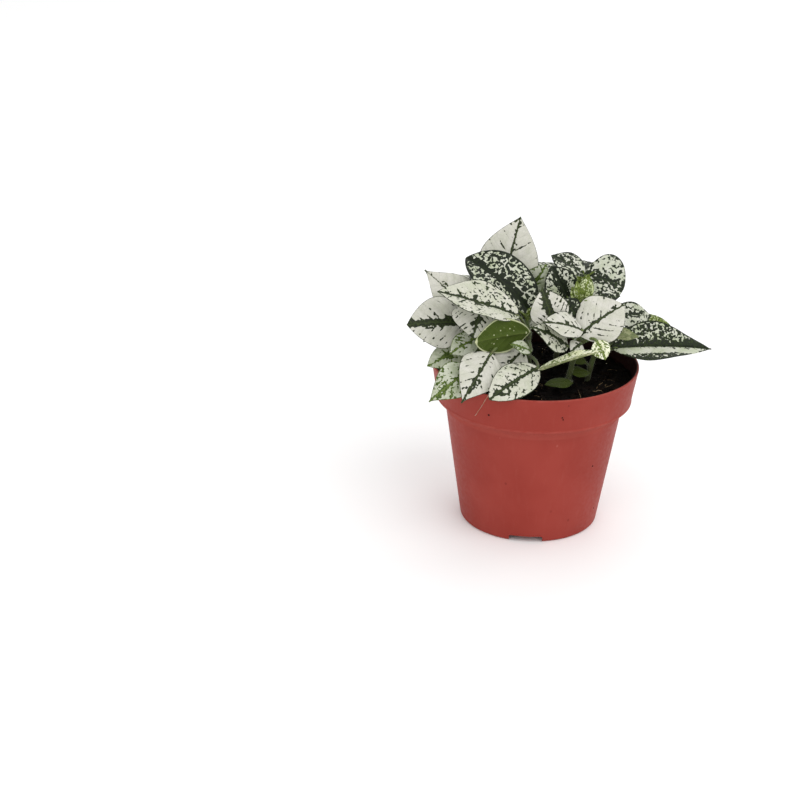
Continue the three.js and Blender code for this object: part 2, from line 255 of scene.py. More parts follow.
def tube(points, radii, sides):
    # a round rod along points, closed at both ends
    points = np.asarray(points, float)
    radii = np.asarray(radii, float)
    guide = (0.31, 0.77, 0.55)  # no rod runs this way
    along = unit(np.gradient(points, axis=0))
    acrossOne = unit(np.cross(along, guide))
    acrossTwo = np.cross(along, acrossOne)
    turns = np.linspace(0, 2 * np.pi, sides, endpoint=False)[None, :, None]
    ring = acrossOne[:, None] * np.cos(turns) + acrossTwo[:, None] * np.sin(turns)
    corners = (points[:, None] + ring * radii[:, None, None]).reshape(-1, 3)
    last = (len(points) - 1) * sides
    ends = [tuple(reversed(range(sides))), tuple(range(last, last + sides))]
    return corners, ringFaces(len(points), sides) + ends


# Pot
potShape = {
    "height": 85,
    "rimRadius": 52.5,
    "collarHeight": 18.5,
    "collarFootRadius": 49.6,
    "shoulderDrop": 3.8,
    "bodyTopRadius": 45.1,
    "bodyFootRadius": 35.4,
    "bodyFootHeight": 0.9,
    "wall": 1.2,
    "skirtHeight": 3.6,
    "skirtRadius": 34.4,
    "footRadius": 12,
    "sides": 224,
    "drainCount": 8,
    "drainRadius": 3.5,
    "drainCircle": 24.5,
    "notchCount": 3,
    "notchWidth": 17,
    "notchHeight": 3.3,
    "notchDepth": 8,
    "notchRounding": 1.1,
    "notchTurn": -95,
    "sharpAngle": 38,
}

potFinish = {
    "colour": paint(149, 59, 50),
    "deep": paint(142, 53, 44),
    # worn: the pale of worn plastic, also laid on the lip and the collar's bead as painted highlight and on
    # the shoulder as painted light
    "wornAndLit": paint(174, 94, 84),
    "dirt": paint(92, 28, 24),
    # dust: soil dust that also darkens the inner wall as painted shade
    "dustAndShade": paint(21, 10, 7),
    # closeness, size, paint and strength
    "specks": [(0.11, 0.095, "dirt", 0.42), (0.083, 0.075, "wornAndLit", 0.5)],
    "dustAndShadeHeights": (77.5, 84.6),
    "roughness": 0.5,
    "specular": 0.12,
}


def potLevels(shape):
    # the heights of the floor's upper side, the body's top and the collar's foot
    collarFoot = shape["height"] - shape["collarHeight"]
    return shape["skirtHeight"] + shape["wall"], collarFoot - shape["shoulderDrop"], collarFoot


def wallRadius(shape, height):
    # the outer wall's radius at a height
    heights = (shape["bodyFootHeight"], *potLevels(shape)[1:], shape["height"])
    radii = (shape["bodyFootRadius"], shape["bodyTopRadius"], shape["collarFootRadius"], shape["rimRadius"])
    return np.interp(height, heights, radii)


def potOutline(shape):
    # the pot in section, each corner as radius, height and rounding: underside, outer wall, rim, inside
    wall = shape["wall"]
    top = shape["height"]
    rim = shape["rimRadius"]
    collar = shape["collarFootRadius"]
    body = shape["bodyTopRadius"]
    skirt = shape["skirtRadius"]
    skirtTop = shape["skirtHeight"]
    middle = shape["footRadius"]
    floorTop, bodyTop, collarFoot = potLevels(shape)
    return [
        (0, 0, 0),
        (middle, 0, 0.5),
        (middle + skirtTop, skirtTop, 0.6),
        (skirt - wall, skirtTop, 0.4),
        (skirt - wall, 0, 0.2),
        (skirt, 0, 0.25),
        (shape["bodyFootRadius"], shape["bodyFootHeight"], 0.5),
        (body, bodyTop, 2.2),
        (collar - 0.35, collarFoot - 0.1, 0.8),
        (collar + 0.25, collarFoot + 0.12, 0.22),
        (collar + 0.25, collarFoot + 0.85, 0.3),
        (collar + 0.08, collarFoot + 1.3, 0.3),
        (rim - 0.16, top - 1.3, 0.4),
        (rim, top - 0.9, 0.3),
        (rim, top, 0.62),
        (rim - wall - 0.1, top, 0.6),
        (rim - wall - 0.1, top - 1.4, 0.6),
        (collar - wall, collarFoot + wall / 2, 1.2),
        (body - wall, bodyTop + wall / 2, 1.6),
        (skirt - wall / 3, floorTop, 0.8),
        (middle + skirtTop + wall / 2, floorTop, 0.6),
        (middle + wall / 2, wall, 0.5),
        (0, wall, 0),
    ]


def rounded(corners, steps=5, most=0.48):
    # a closed outline with its corners turned into arcs, each taking up no more than most of a side
    outline = []
    count = len(corners)
    for index, (radius, height, rounding) in enumerate(corners):
        here = Vector((radius, height))
        before = Vector(corners[index - 1][:2]) - here
        after = Vector(corners[(index + 1) % count][:2]) - here
        if rounding == 0 or radius == 0:
            outline.append(here)
            continue
        reach = min(rounding, before.length * most, after.length * most)
        start = here + before.normalized() * reach
        end = here + after.normalized() * reach
        for step in range(steps + 1):
            share = step / steps
            outline.append(start.lerp(here, share).lerp(here.lerp(end, share), share))
    return outline


def lathe(outline, sides):
    points = []
    faces = []
    count = len(outline)
    for side in range(sides):
        turn = 2 * math.pi * side / sides
        points += [polar(radius, turn, height) for radius, height in outline]
        low = side * count
        high = ((side + 1) % sides) * count
        for step in range(count - 1):
            faces.append((low + step, high + step, high + step + 1, low + step + 1))
    return points, faces


def weldAndClean(mesh, reach=1e-6):
    shape = bmesh.new()
    shape.from_mesh(mesh)
    bmesh.ops.remove_doubles(shape, verts=shape.verts, dist=reach)
    bmesh.ops.dissolve_degenerate(shape, edges=shape.edges, dist=reach / 10)
    bmesh.ops.recalc_face_normals(shape, faces=shape.faces)
    shape.to_mesh(mesh)
    shape.free()


def makePotCutter(shape):
    # drainage holes and foot notches
    depth = shape["notchDepth"] * mm
    tools = bmesh.new()
    for index in range(shape["drainCount"]):
        turn = 2 * math.pi * index / shape["drainCount"]
        spot = Vector(polar(shape["drainCircle"], turn, shape["skirtHeight"] + shape["wall"] / 2))
        radius = shape["drainRadius"] * mm
        bmesh.ops.create_cone(tools, cap_ends=True, segments=40, radius1=radius, radius2=radius,
                              depth=4 * shape["wall"] * mm, matrix=Matrix.Translation(spot * mm))
    for index in range(shape["notchCount"]):
        turn = math.radians(shape["notchTurn"]) + 2 * math.pi * index / shape["notchCount"]
        size = Matrix.Diagonal((depth, shape["notchWidth"] * mm, 2 * shape["notchHeight"] * mm, 1))
        place = Matrix.Rotation(turn, 4, "Z") @ Matrix.Translation((shape["skirtRadius"] * mm, 0, 0))
        made = bmesh.ops.create_cube(tools, size=1, matrix=place @ size)
        topEdges = [edge for edge in {edge for corner in made["verts"] for edge in corner.link_edges}
                    if min(end.co.z for end in edge.verts) > 0
                    and abs(edge.calc_length() - depth) < 1e-5]
        bmesh.ops.bevel(tools, geom=topEdges, offset=shape["notchRounding"] * mm, segments=5,
                        affect="EDGES", profile=0.5)
    mesh = bpy.data.meshes.new("pot_cutter")
    tools.to_mesh(mesh)
    tools.free()
    return newObject("pot_cutter", mesh)


def markPot(mesh, shape):
    # what the finish needs to know: the edges, worn and given painted highlights, the inner wall, darkened
    # with dust and painted shade, and the shoulder, given painted light
    floorTop, bodyTop, collarFoot = potLevels(shape)
    rows = []
    for corner in mesh.vertices:
        radius = math.hypot(corner.co.x, corner.co.y) / mm
        height = corner.co.z / mm
        lip = 1 - abs(height - shape["height"])
        bead = 1 - math.hypot(radius - shape["collarFootRadius"] - 0.2, height - collarFoot - 0.4) / 0.9
        foot = 1 - abs(height - 0.4) / 0.8 if radius > shape["skirtRadius"] - 4 else 0
        inside = radius < wallRadius(shape, height) - shape["wall"] * 0.75 and height > floorTop - 1
        shoulder = bodyTop - 1.5 < height < collarFoot + 0.2
        rows.append((max(0, lip, bead, foot), inside, shoulder))
    storeValues(mesh, "potEdge", rows)


def makePot(shape, material):
    points, faces = lathe(rounded(potOutline(shape)), shape["sides"])
    pot = makePiece("pot_shell", points, faces, [material], "pot_plastic", "pot")
    weldAndClean(pot.data)
    cutter = makePotCutter(shape)
    cut = pot.modifiers.new("cut", "BOOLEAN")
    cut.object = cutter
    cut.operation = "DIFFERENCE"
    cut.solver = "EXACT"
    bpy.context.view_layer.update()
    finished = bpy.data.meshes.new_from_object(pot.evaluated_get(bpy.context.evaluated_depsgraph_get()))
    pot.modifiers.clear()
    pot.data = finished
    bpy.data.objects.remove(cutter)
    weldAndClean(finished)
    finished.shade_smooth()
    finished.set_sharp_from_angle(angle=math.radians(shape["sharpAngle"]))
    markPot(finished, shape)
    return pot


def makePotMaterial(finish):
    material, tree, shader = newMaterial("pot_plastic")
    here = inPlace(tree)
    height = parted(here)[2]
    edge, inside, shoulder = parted(stored(tree, "potEdge"))
    wornAndLit = finish["wornAndLit"]
    # uneven colour, faint streaks down the wall and scuffs round it
    uneven = rise(cloudy(here, 0.035), 0.35, 0.65)
    streaks = rise(cloudy(inPlace(tree, (1, 1, 0.12)), 0.5, 2, 0.6), 0.52, 0.8, 0, 0.07)
    scuffs = rise(cloudy(inPlace(tree, (0.5, 0.5, 1.6)), 0.22, 4, 0.65, 0.6), 0.66, 0.78, 0, 0.12)
    # wear with painted highlights along the edges, and painted light on the shoulder under the collar
    rubbedAndHighlit = times(times(edge, rise(cloudy(here, 0.3, 3), 0.25, 0.6)), 0.28)
    # painted light: the shoulder under the collar, which lies in shade, made paler
    wearAndPaintedLight = calc("MAXIMUM", rubbedAndHighlit, times(shoulder, 0.2))
    layers = [(uneven, finish["colour"]), (streaks, wornAndLit), (scuffs, wornAndLit), (wearAndPaintedLight, wornAndLit)]
    for rate, size, tone, strength in finish["specks"]:
        dot = rise(cells(inPlace(tree, (1, 1, 0.8)), rate), size * 0.5, size, strength, 0)
        layers.append((times(dot, rise(cloudy(here, rate * 0.4, 1), 0.46, 0.58)), finish[tone]))
    # dirt low on the wall, and soil dust with painted shade on the inner wall
    smear = times(rise(height, 0, 9, 1, 0), rise(cloudy(here, 0.12, 4), 0.5, 0.75))
    # the inner wall darkened almost to black, partly soil dust and partly painted shade
    dustAndShadeShare = rise(plus(height, times(cloudy(here, 0.25, 3), -9.0)), *finish["dustAndShadeHeights"], 0.95, 0.85)
    layers += [(times(smear, 0.14), finish["dirt"]), (times(inside, dustAndShadeShare), finish["dustAndShade"])]
    rough = plus(rise(cloudy(here, 0.5, 3), 0.3, 0.7, -0.05, 0.08), finish["roughness"])
    rough = plus(rough, times(plus(scuffs, shoulder), 0.35))
    feed(shader, {
        "Base Color": layered(finish["deep"], layers),
        "Roughness": rough,
        "Specular IOR Level": finish["specular"],
    })
    bumped(shader, plus(cloudy(here, 3.2, 3, 0.6), times(cloudy(here, 0.3), 2.0)), 0.35, 0.035)
    return material


pot = makePot(potShape, makePotMaterial(potFinish))
print("pot made:", len(pot.data.polygons), "faces")


# Soil
soilShape = {
    "top": 77,
    "surfaceRadius": 49.55,
    "rings": 84,
    "sides": 240,
    "rimDrop": 0.5,
    "waves": [(0.5, 0.23, 0.19, 1.1), (0.35, 0.61, -0.47, 0.3), (0.3, 0.35, 0.83, 1.6)],
    "relief": [(0.8, 3.1, 0.21, 0.8, 2.1), (0.35, 8.4, 0.85, 0.7, 2.2)],  # lumps and grit
    "octaves": 3,
    "underside": [(12, 1.5), (15.6, 5.1), (33.6, 5.1), (43.5, 63.6), (48, 67.4)],
    "specular": 0.08,
    "threadSides": 5,
}

soilPaints = {
    "dark": paint(7, 5, 4),
    "brown": paint(25, 17, 12),
    "fibre": paint(176, 148, 112),
    "pale": paint(205, 198, 186),
}

# each soil material: its two paints, the closeness of its grain and the depth of its relief
soilFinishes = {
    "soil_peat": ("dark", "brown", 1.6, 0.5),
    "soil_crumb": ("dark", "brown", 2.5, 0.3),
    "soil_fibre": ("brown", "fibre", 4.0, 0.05),
    "soil_pale": ("fibre", "pale", 3.0, 0.05),
}


def makeSoilMaterial(name, low, high, grain, depth):
    material, tree, shader = newMaterial(name)
    here = inPlace(tree)
    patches = rise(cloudy(here, 0.25, 4, 0.6), 0.42, 0.68)
    fine = times(rise(cloudy(here, 2.4, 3, 0.7), 0.5, 0.72), 0.5)
    colour = layered(soilPaints[low], [(patches, soilPaints[high]), (fine, soilPaints[high])])
    rough = rise(cloudy(here, 0.6, 3), 0.3, 0.7, 0.82, 0.98)
    feed(shader, {"Base Color": colour, "Roughness": rough, "Specular IOR Level": soilShape["specular"]})
    bumped(shader, plus(cloudy(here, grain, 4, 0.7), cells(here, grain * 1.3)), 0.8, depth)
    return material


def soilHeight(x, y):
    height = soilShape["top"]
    for size, alongX, alongY, start in soilShape["waves"]:
        height += size * math.sin(alongX * x + alongY * y + start)
    for size, seed, rate, rough, finer in soilShape["relief"]:
        height += size * noise.fractal(Vector((x, y, seed)) * rate, rough, finer, soilShape["octaves"])
    return height


def onSoil(fromEdge):
    # a random point on the surface
    radius = (soilShape["surfaceRadius"] - fromEdge) * math.sqrt(random.random())
    return polar(radius, random.uniform(0, 2 * math.pi))[:2]


def makeSoilPiece(name, parts, finish, sharp=None):
    points, faces = joined(parts)
    makePiece(name, points, faces, [soilMaterials[finish]], "potting_soil", "soil", sharp=sharp)


def soilBlock(shape):
    # rings up the hidden sides, then over the surface from its edge to the middle
    sides = shape["sides"]
    turns = [2 * math.pi * side / sides for side in range(sides)]
    points = [polar(radius, turn, height) for radius, height in shape["underside"] for turn in turns]
    for ring in range(shape["rings"], 0, -1):
        radius = shape["surfaceRadius"] * (ring / shape["rings"])
        drop = shape["rimDrop"] if ring == shape["rings"] else 0
        for turn in turns:
            x, y = polar(radius, turn)[:2]
            points.append((x, y, soilHeight(x, y) - drop))
    faces = ringFaces(len(points) // sides, sides)
    last = len(points) - sides
    bottom = len(points)
    points += [(0, 0, shape["underside"][0][1]), (0, 0, soilHeight(0, 0))]
    for side in range(sides):
        after = (side + 1) % sides
        faces += [(after, side, bottom), (last + side, last + after, bottom + 1)]
    return points, faces


# each kind of crumb: its number and sizes, how finely it is divided, its material and how far it stands out
crumbKinds = {
    "soil_crumbs_fine": (620, (0.35, 0.95), 1, "soil_crumb", 0.3),
    "soil_crumbs_large": (150, (0.9, 2.0), 2, "soil_crumb", 0.2),
    "soil_specks": (26, (0.2, 0.45), 1, "soil_pale", 0.7),
}

crumbShape = {
    "fromEdge": 1.2,
    "shrink": (0.7, 1.0),
    "stretches": [(0.7, 1.4), (0.6, 1.2), (0.5, 0.9)],
    "uneven": (0.78, 0.5, 1.6),  # least size, unevenness and its closeness
    "sharpAngle": 50,
}


def roundLump(detail):
    shape = bmesh.new()
    bmesh.ops.create_icosphere(shape, subdivisions=detail, radius=1)
    points = np.array([corner.co for corner in shape.verts])
    faces = [tuple(corner.index for corner in face.verts) for face in shape.faces]
    shape.free()
    return points, faces


def unevenLump(lump, uneven, seed, place, axes):
    # a lump made uneven and stretched along three axes
    least, most, rate = uneven
    shake = [least + most * noise.noise(Vector(spot) * rate + Vector(seed)) for spot in lump]
    return place + (lump * np.array(shake)[:, None]) @ axes


def crumbParts(shape, count, sizes, detail, lift):
    lump, faces = roundLump(detail)
    parts = []
    for index in range(count):
        x, y = onSoil(shape["fromEdge"])
        size = random.uniform(*sizes) * random.uniform(*shape["shrink"])
        stretch = np.array([random.uniform(*span) for span in shape["stretches"]]) * size
        turn = random.uniform(0, 6.28)
        spin = np.array(Matrix.Rotation(turn, 3, Vector((random.random(), random.random(), 1))))
        place = (x, y, soilHeight(x, y) + size * lift)
        axes = stretch[:, None] * spin.T
        parts.append((unevenLump(lump, shape["uneven"], (index, 0, 0), place, axes), faces))
    return parts


fibreShape = {
    "count": 46,
    "fromEdge": 4,
    "lengths": (2.5, 8),
    "bends": (-0.9, 0.9),
    "leans": (0.0, 0.35),
    "lift": 0.15,
    "steps": 8,
    "leastPoints": 4,
    "limit": 48.8,
    "radii": (0.11, 0.05),
    "thickness": (0.7, 1.5),
}


def fibreThreads(shape):
    # short fibres that lie about: each thread is its points and its radii
    threads = []
    for index in range(shape["count"]):
        x, y = onSoil(shape["fromEdge"])
        length = random.uniform(*shape["lengths"])
        turn = random.uniform(0, 2 * math.pi)
        bend = random.uniform(*shape["bends"])
        lean = random.uniform(*shape["leans"])
        route = []
        for step in range(shape["steps"] + 1):
            share = step / shape["steps"]
            x += math.cos(turn + bend * share) * length / shape["steps"]
            y += math.sin(turn + bend * share) * length / shape["steps"]
            if math.hypot(x, y) > shape["limit"]:
                break
            raised = shape["lift"] + lean * length * math.sin(share * 2.6) * 0.5
            route.append((x, y, soilHeight(x, y) + raised))
        if len(route) >= shape["leastPoints"]:
            radii = np.linspace(*shape["radii"], len(route)) * random.uniform(*shape["thickness"])
            threads.append((route, radii))
    return threads


# light strands lying on the front right of the soil: their points across and along
strandShape = {
    "lift": 0.3,
    "radii": (0.17, 0.09),
    "lines": [
        [(27.6, -20.7), (29.7, -19.5), (30.9, -18.0), (32.5, -18.3), (33.6, -20.2)],
        [(36.7, 2.3), (35.2, -3.9), (33.7, -8.8), (31.8, -12.1), (30.2, -15.8)],
        [(20.7, -19.8), (21.0, -23.2), (21.2, -26.5), (21.3, -29.2)],
        [(36.1, -7.2), (37.5, -6.1), (38.9, -6.6), (40.3, -7.5)],
        [(32.3, -2.2), (32.8, -3.2), (33.3, -4.3)],
        [(-2.5, -29.5), (-1.0, -30.6), (1.1, -31.4)],
    ],
}


def strandThreads(shape):
    threads = []
    for line in shape["lines"]:
        route = [(x, y, soilHeight(x, y) + shape["lift"]) for x, y in line]
        threads.append((route, np.linspace(*shape["radii"], len(line))))
    return threads


# a pale fibre that hangs over the front left of the rim: its points as radius, angle and height
strayShape = {
    "radii": (0.13, 0.07),
    "line": [
        (49.4, 246.0, 80.8), (50.6, 244.0, 83.6), (51.5, 242.4, 85.2), (52.5, 241.4, 85.3),
        (52.68, 240.4, 83.6), (52.2, 238.6, 80.6), (51.68, 236.7, 77.6), (51.16, 234.5, 74.6),
        (50.75, 232.8, 72.2), (50.58, 231.9, 71.2),
    ],
}


def strayThreads(shape):
    route = [polar(radius, math.radians(angle), height) for radius, angle, height in shape["line"]]
    return [(route, np.linspace(*shape["radii"], len(route)))]


# small bits of dried soil stuck to the pot's wall: angle, height, half width and half length
wallShape = {
    "detail": 2,
    "uneven": (0.85, 0.6, 1.5),
    "depth": 0.2,
    "bits": [
        (240.9, 73.7, 0.56, 0.62), (282.3, 75.4, 0.5, 0.32), (282.9, 74.3, 0.26, 0.66),
        (285.2, 81.9, 0.26, 0.3), (314.5, 40.7, 0.58, 0.5), (330.4, 11.8, 0.3, 0.34),
        (12.0, 55.0, 0.5, 0.4), (38.0, 71.5, 0.3, 0.5), (64.0, 24.0, 0.4, 0.4), (103.0, 76.0, 0.5, 0.36),
        (128.0, 38.0, 0.32, 0.3), (171.0, 15.0, 0.42, 0.5), (196.0, 79.0, 0.3, 0.3),
    ],
}


def wallParts(shape):
    lump, faces = roundLump(shape["detail"])
    parts = []
    for index, (angle, height, across, tall) in enumerate(shape["bits"]):
        turn = math.radians(angle)
        place = polar(wallRadius(potShape, height), turn, height)
        beside = polar(across, turn + math.pi / 2)
        axes = np.array([beside, polar(shape["depth"], turn), (0, 0, tall)])
        parts.append((unevenLump(lump, shape["uneven"], (index * 3, 0, 7), place, axes), faces))
    return parts


soilMaterials = {name: makeSoilMaterial(name, *row) for name, row in soilFinishes.items()}
makeSoilPiece("soil_block", [soilBlock(soilShape)], "soil_peat")
for name, (count, sizes, detail, finish, lift) in crumbKinds.items():
    makeSoilPiece(name, crumbParts(crumbShape, count, sizes, detail, lift), finish, crumbShape["sharpAngle"])
for name, threads, finish in (
    ("soil_fibres", fibreThreads(fibreShape), "soil_fibre"),
    ("soil_strands", strandThreads(strandShape), "soil_fibre"),
    ("soil_stray_fibre", strayThreads(strayShape), "soil_pale"),
):
    rods = [tube(route, radii, soilShape["threadSides"]) for route, radii in threads]
    makeSoilPiece(name, rods, finish)
makeSoilPiece("soil_wall_bits", wallParts(wallShape), "soil_crumb")
print("soil made")


# Leaves
# what each kind of leaf is painted with: ground, shade, ink and pale ink above, ground and ink below
leafPaints = {
    "white": [(205, 203, 193), (193, 193, 178), (30, 36, 20), (62, 74, 36), (160, 170, 136), (108, 122, 84)],
    "bold": [(205, 203, 193), (193, 193, 178), (30, 36, 20), (62, 74, 36), (160, 170, 136), (108, 122, 84)],
    "netted": [(204, 203, 190), (188, 191, 170), (28, 36, 18), (58, 72, 32), (144, 158, 118), (94, 110, 72)],
    "half": [(203, 204, 191), (182, 188, 164), (22, 28, 18), (50, 64, 32), (112, 128, 86), (80, 96, 58)],
    "dark": [(199, 201, 186), (176, 184, 154), (17, 24, 13), (36, 48, 22), (92, 108, 62), (66, 82, 40)],
    "edged": [(199, 201, 186), (176, 184, 154), (17, 24, 11), (46, 62, 18), (92, 108, 62), (66, 82, 40)],
    "young": [(198, 205, 166), (168, 180, 120), (74, 90, 30), (122, 138, 58), (134, 150, 78), (98, 116, 48)],
    "green": [(80, 94, 28), (66, 80, 20), (54, 66, 12), (66, 80, 16), (60, 72, 16), (50, 62, 12)],
    "olive": [(150, 164, 96), (104, 122, 50), (52, 68, 12), (72, 90, 24), (70, 84, 20), (58, 74, 16)],
    "cream": [(238, 238, 216), (214, 217, 176), (78, 94, 38), (124, 140, 72), (206, 207, 168),
              (112, 128, 64)],
    # pale: white leaves with their upper side painted greyer and greener as painted shade, for leaves in the
    # shade of others
    "pale": [(194, 197, 180), (166, 174, 146), (60, 78, 30), (106, 126, 54), (182, 184, 144), (98, 112, 74)],
}

# how each kind is marked: the share of the blade that is inked, the contrast and the size of its blotches,
# and how strongly and how far the ink gathers along the midrib, the side veins and the rim
markNames = ("spread", "grain", "scale", "patches", "ragged", "midrib", "midribReach", "veins",
             "veinReach", "rim", "rimReach")
leafMarks = {
    "white": (0.33, 0.56, 0.62, 0.1, 2.6, 0.34, 1.15, 0.3, 0.9, 0.36, 0.34),
    "bold": (0.335, 0.56, 0.62, 0.1, 3.6, 0.5, 2.8, 0.26, 0.9, 0.36, 0.34),
    "netted": (0.385, 0.8, 0.66, 0.16, 3.0, 0.38, 1.35, 0.3, 1.0, 0.34, 0.5),
    "half": (0.45, 1.2, 0.64, 0.34, 3.0, 0.24, 2.6, 0.08, 1.2, 0.24, 1.4),
    "dark": (0.52, 1.3, 0.66, 0.1, 2.0, 0.34, 2.6, 0.05, 1.2, 0.3, 1.5),
    "edged": (0.53, 1.3, 0.66, 0.1, 2.0, 0.34, 5.2, 0.05, 1.2, 0.3, 1.5),
    "young": (0.54, 1.35, 1.05, 0.3, 2.0, 0.25, 0.8, 0.2, 0.5, 0.2, 0.4),
    "green": (0.9, 0.5, 1.1, 0.02, 0.5, 0.2, 0.8, 0.05, 0.5, 0.0, 1.0),
    "olive": (0.8, 0.5, 1.1, 0.02, 0.5, 0.2, 0.8, 0.05, 0.5, 0.0, 1.0),
    "cream": (0.4, 0.9, 0.9, 0.2, 1.0, 0.28, 0.9, 0.28, 0.9, 0.12, 0.4),
    "pale": (0.36, 0.8, 0.7, 0.2, 2.0, 0.3, 1.2, 0.24, 1.0, 0.3, 0.6),
}

# the same for every kind, and what only some kinds have: one dark half, or a lined and spotted underside
leafFinish = {
    "oneSide": 0.0, "sideInk": 0.0, "spots": 0.0, "lining": 0.0, "backLines": 0.5,
    "cutWidth": 0.022,
    "line": paint(176, 188, 112),
    "spot": paint(206, 210, 168),
    "roughness": (0.5, 0.62),  # above and below
    "specular": 0.22,
    "sheen": 0.02,
    "sheenRoughness": 0.5,
}
leafSpecials = {
    "edged": {"oneSide": 1.0, "sideInk": -0.43},
    "olive": {"spots": 0.7, "lining": 0.8, "backLines": 0.12},
}

leafShape = {
    "thickness": 0.34,
    "rimThickness": 0.16,
    "footThickness": 0.6,
    "ribDepth": 0.75,  # how far the midrib stands out under the base of the blade
    "ribWidth": 0.75,
    "ribLeafWidth": 18,  # the width from which a leaf has its full midrib
    "groove": 0.28,
    "grid": (54, 30),  # steps along and lanes across
    "smallGrid": (28, 16),
    "small": 16,
    "full": 30,  # the length from which a leaf has its full relief and hairs
    "veinPairs": 6.4,
    "leastSpacing": 2.2,
    "veinLean": 0.72,
    "veinCurve": 0.34,
    "veinWidth": 0.8,
    "grooveWidth": 0.7,
    "quilt": 0.24,
    "quiltLevel": 0.45,
    "quiltFrom": 1.4,  # millimetres from the midrib
    "crinkle": 0.22,
    "crinkleRate": 0.22,
    "crinkleFrom": 2,
    "flatEnds": 0.06,
    "rimAtEnds": (0.9, 0.55),
    "apart": (53, 7),  # how far apart the marks and the crinkles of two leaves are taken
    "sideLag": 0.37,
    "baseHalfWidth": 0.8,
    "tipHalfWidth": 0.35,
    "swell": 0.75,
    "taper": 0.95,
    "edgeDroop": 0.1,
    "waveRate": 10,
    "waveLag": 1.4,
    "turn": 2.4,
    "inkFall": 0.06,
    "inkFallFrom": 0.62,
    "sharpAngle": 80,
}


def leafInk(look, plain, fromVein, across, away, rim, ink):
    # where the blade is inked: in blotches that gather along veins, midrib and rim
    blotch = cloudy(plain, look["scale"], 0.8, 0.5, 0.7)
    patch = cloudy(plain, 0.085, 1.5)
    gate = times(rise(cloudy(plain, 0.2, 1.0), 0.47, 0.6), rise(away, 1.0, 11.0, 1, 0.55))
    veins = plus(fromVein, times(calc("MULTIPLY_ADD", blotch, -1.6, 0.8), 0.5))
    veins = times(times(rise(veins, 0.05, look["veinReach"], 1, 0), gate), look["veins"])
    swing = rise(cloudy(plain, 0.21), 0.5, 0.7, 0, look["ragged"])
    middle = rise(minus(away, swing), 0.1, look["midribReach"], look["midrib"], 0)
    edge = rise(rim, 0.12, look["rimReach"], look["rim"], 0)
    half = times(rise(across, 0.3, 1.1, 0, look["oneSide"]), rise(away, 6.2, 8.2, look["sideInk"], 0.12))
    field = calc("MULTIPLY_ADD", minus(blotch, 0.5), look["grain"], 0.5)
    field = plus(field, times(minus(patch, 0.5), look["patches"] * 2))
    for part in (veins, middle, edge, ink, half):
        field = plus(field, part)
    cut = 1.0 - look["spread"]
    return rise(field, cut - look["cutWidth"], cut + look["cutWidth"])


def makeLeafMaterial(name, look, under):
    material, tree, shader = newMaterial(name)
    along, across, rim = parted(stored(tree, "leafPlace"))
    phase, spacing, ink = parted(stored(tree, "leafNet"))
    away = calc("ABSOLUTE", across)
    plain = combined(along, across, 0.0)
    # the side veins of one half lie a little behind those of the other
    lag = times(calc("LESS_THAN", across, 0.0), leafShape["sideLag"])
    nearest = minus(calc("FRACT", plus(phase, lag)), 0.5)
    fromVein = times(calc("ABSOLUTE", nearest), spacing)
    inked = leafInk(look, plain, fromVein, across, away, rim, ink)
    flow = minus(along, times(away, 0.7))
    net = cells(combined(times(flow, 1.12), times(across, 0.95), 0.0), 0.62, "DISTANCE_TO_EDGE")
    fineLine = rise(net, 0.0, 0.09, 1, 0)
    veinLine = rise(fromVein, 0.08, 0.42, 1, 0)
    ribLine = rise(away, 0.12, 0.42, 1, 0)
    tint = cloudy(plain, 0.16, 3, 0.6)
    if under:
        lines = times(calc("MAXIMUM", times(veinLine, 0.45), times(ribLine, 0.8)), look["backLines"])
        lineColour = [(one + two) / 2 for one, two in zip(look["back"], look["line"])]
        spot = times(rise(cells(plain, 0.42), 0.13, 0.2, 1, 0), look["spots"])
        spot = times(spot, rise(cloudy(plain, 0.2, 1), 0.45, 0.6))
        lining = times(rise(rim, 0.5, 0.9, 1, 0), look["lining"])
        colour = layered(look["back"], [
            (times(inked, 0.75), look["backInk"]),
            (rise(tint, 0.35, 0.7, 0, 0.35), look["inkPale"]),
            (lines, lineColour),
            (times(fineLine, 0.18), look["backInk"]),
            (calc("MAXIMUM", spot, lining), look["spot"]),
        ])
    else:
        blot = mixed(rise(cloudy(plain, 0.9, 3, 0.6), 0.4, 0.75), look["ink"], look["inkPale"])
        colour = layered(look["ground"], [
            (rise(tint, 0.35, 0.68), look["shade"]),
            (times(fineLine, 0.12), look["inkPale"]),
            (times(veinLine, 0.08), look["inkPale"]),
            (inked, blot),
            (times(ribLine, 0.6), look["inkPale"]),
        ])
    rough = plus(rise(cloudy(plain, 0.9, 3), 0.3, 0.7, -0.06, 0.1), look["roughness"][under])
    feed(shader, {
        "Base Color": colour,
        "Roughness": rough,
        "Specular IOR Level": look["specular"],
        "Sheen Weight": look["sheen"],
        "Sheen Roughness": look["sheenRoughness"],
    })
    # lines stand out below and lie deeper above
    lift = 1.0 if under else -1.0
    height = plus(times(veinLine, lift * 0.4), times(fineLine, lift * 0.35))
    height = plus(height, times(cloudy(plain, 2.6, 3, 0.65), 0.5))
    height = plus(height, times(inked, -0.12))
    bumped(shader, height, 0.55, 0.16)
    return material


paintNames = ("ground", "shade", "ink", "inkPale", "back", "backInk")
leafMaterials = {}
for kind, paints in leafPaints.items():
    look = {**leafFinish, **dict(zip(markNames, leafMarks[kind])), **leafSpecials.get(kind, {})}
    look.update((name, paint(*numbers)) for name, numbers in zip(paintNames, paints))
    sides = (("top", False), ("back", True))
    leafMaterials[kind] = [makeLeafMaterial(f"leaf_{kind}_{side}", look, under) for side, under in sides]
print("leaf finishes made:", len(leafMaterials) * 2)


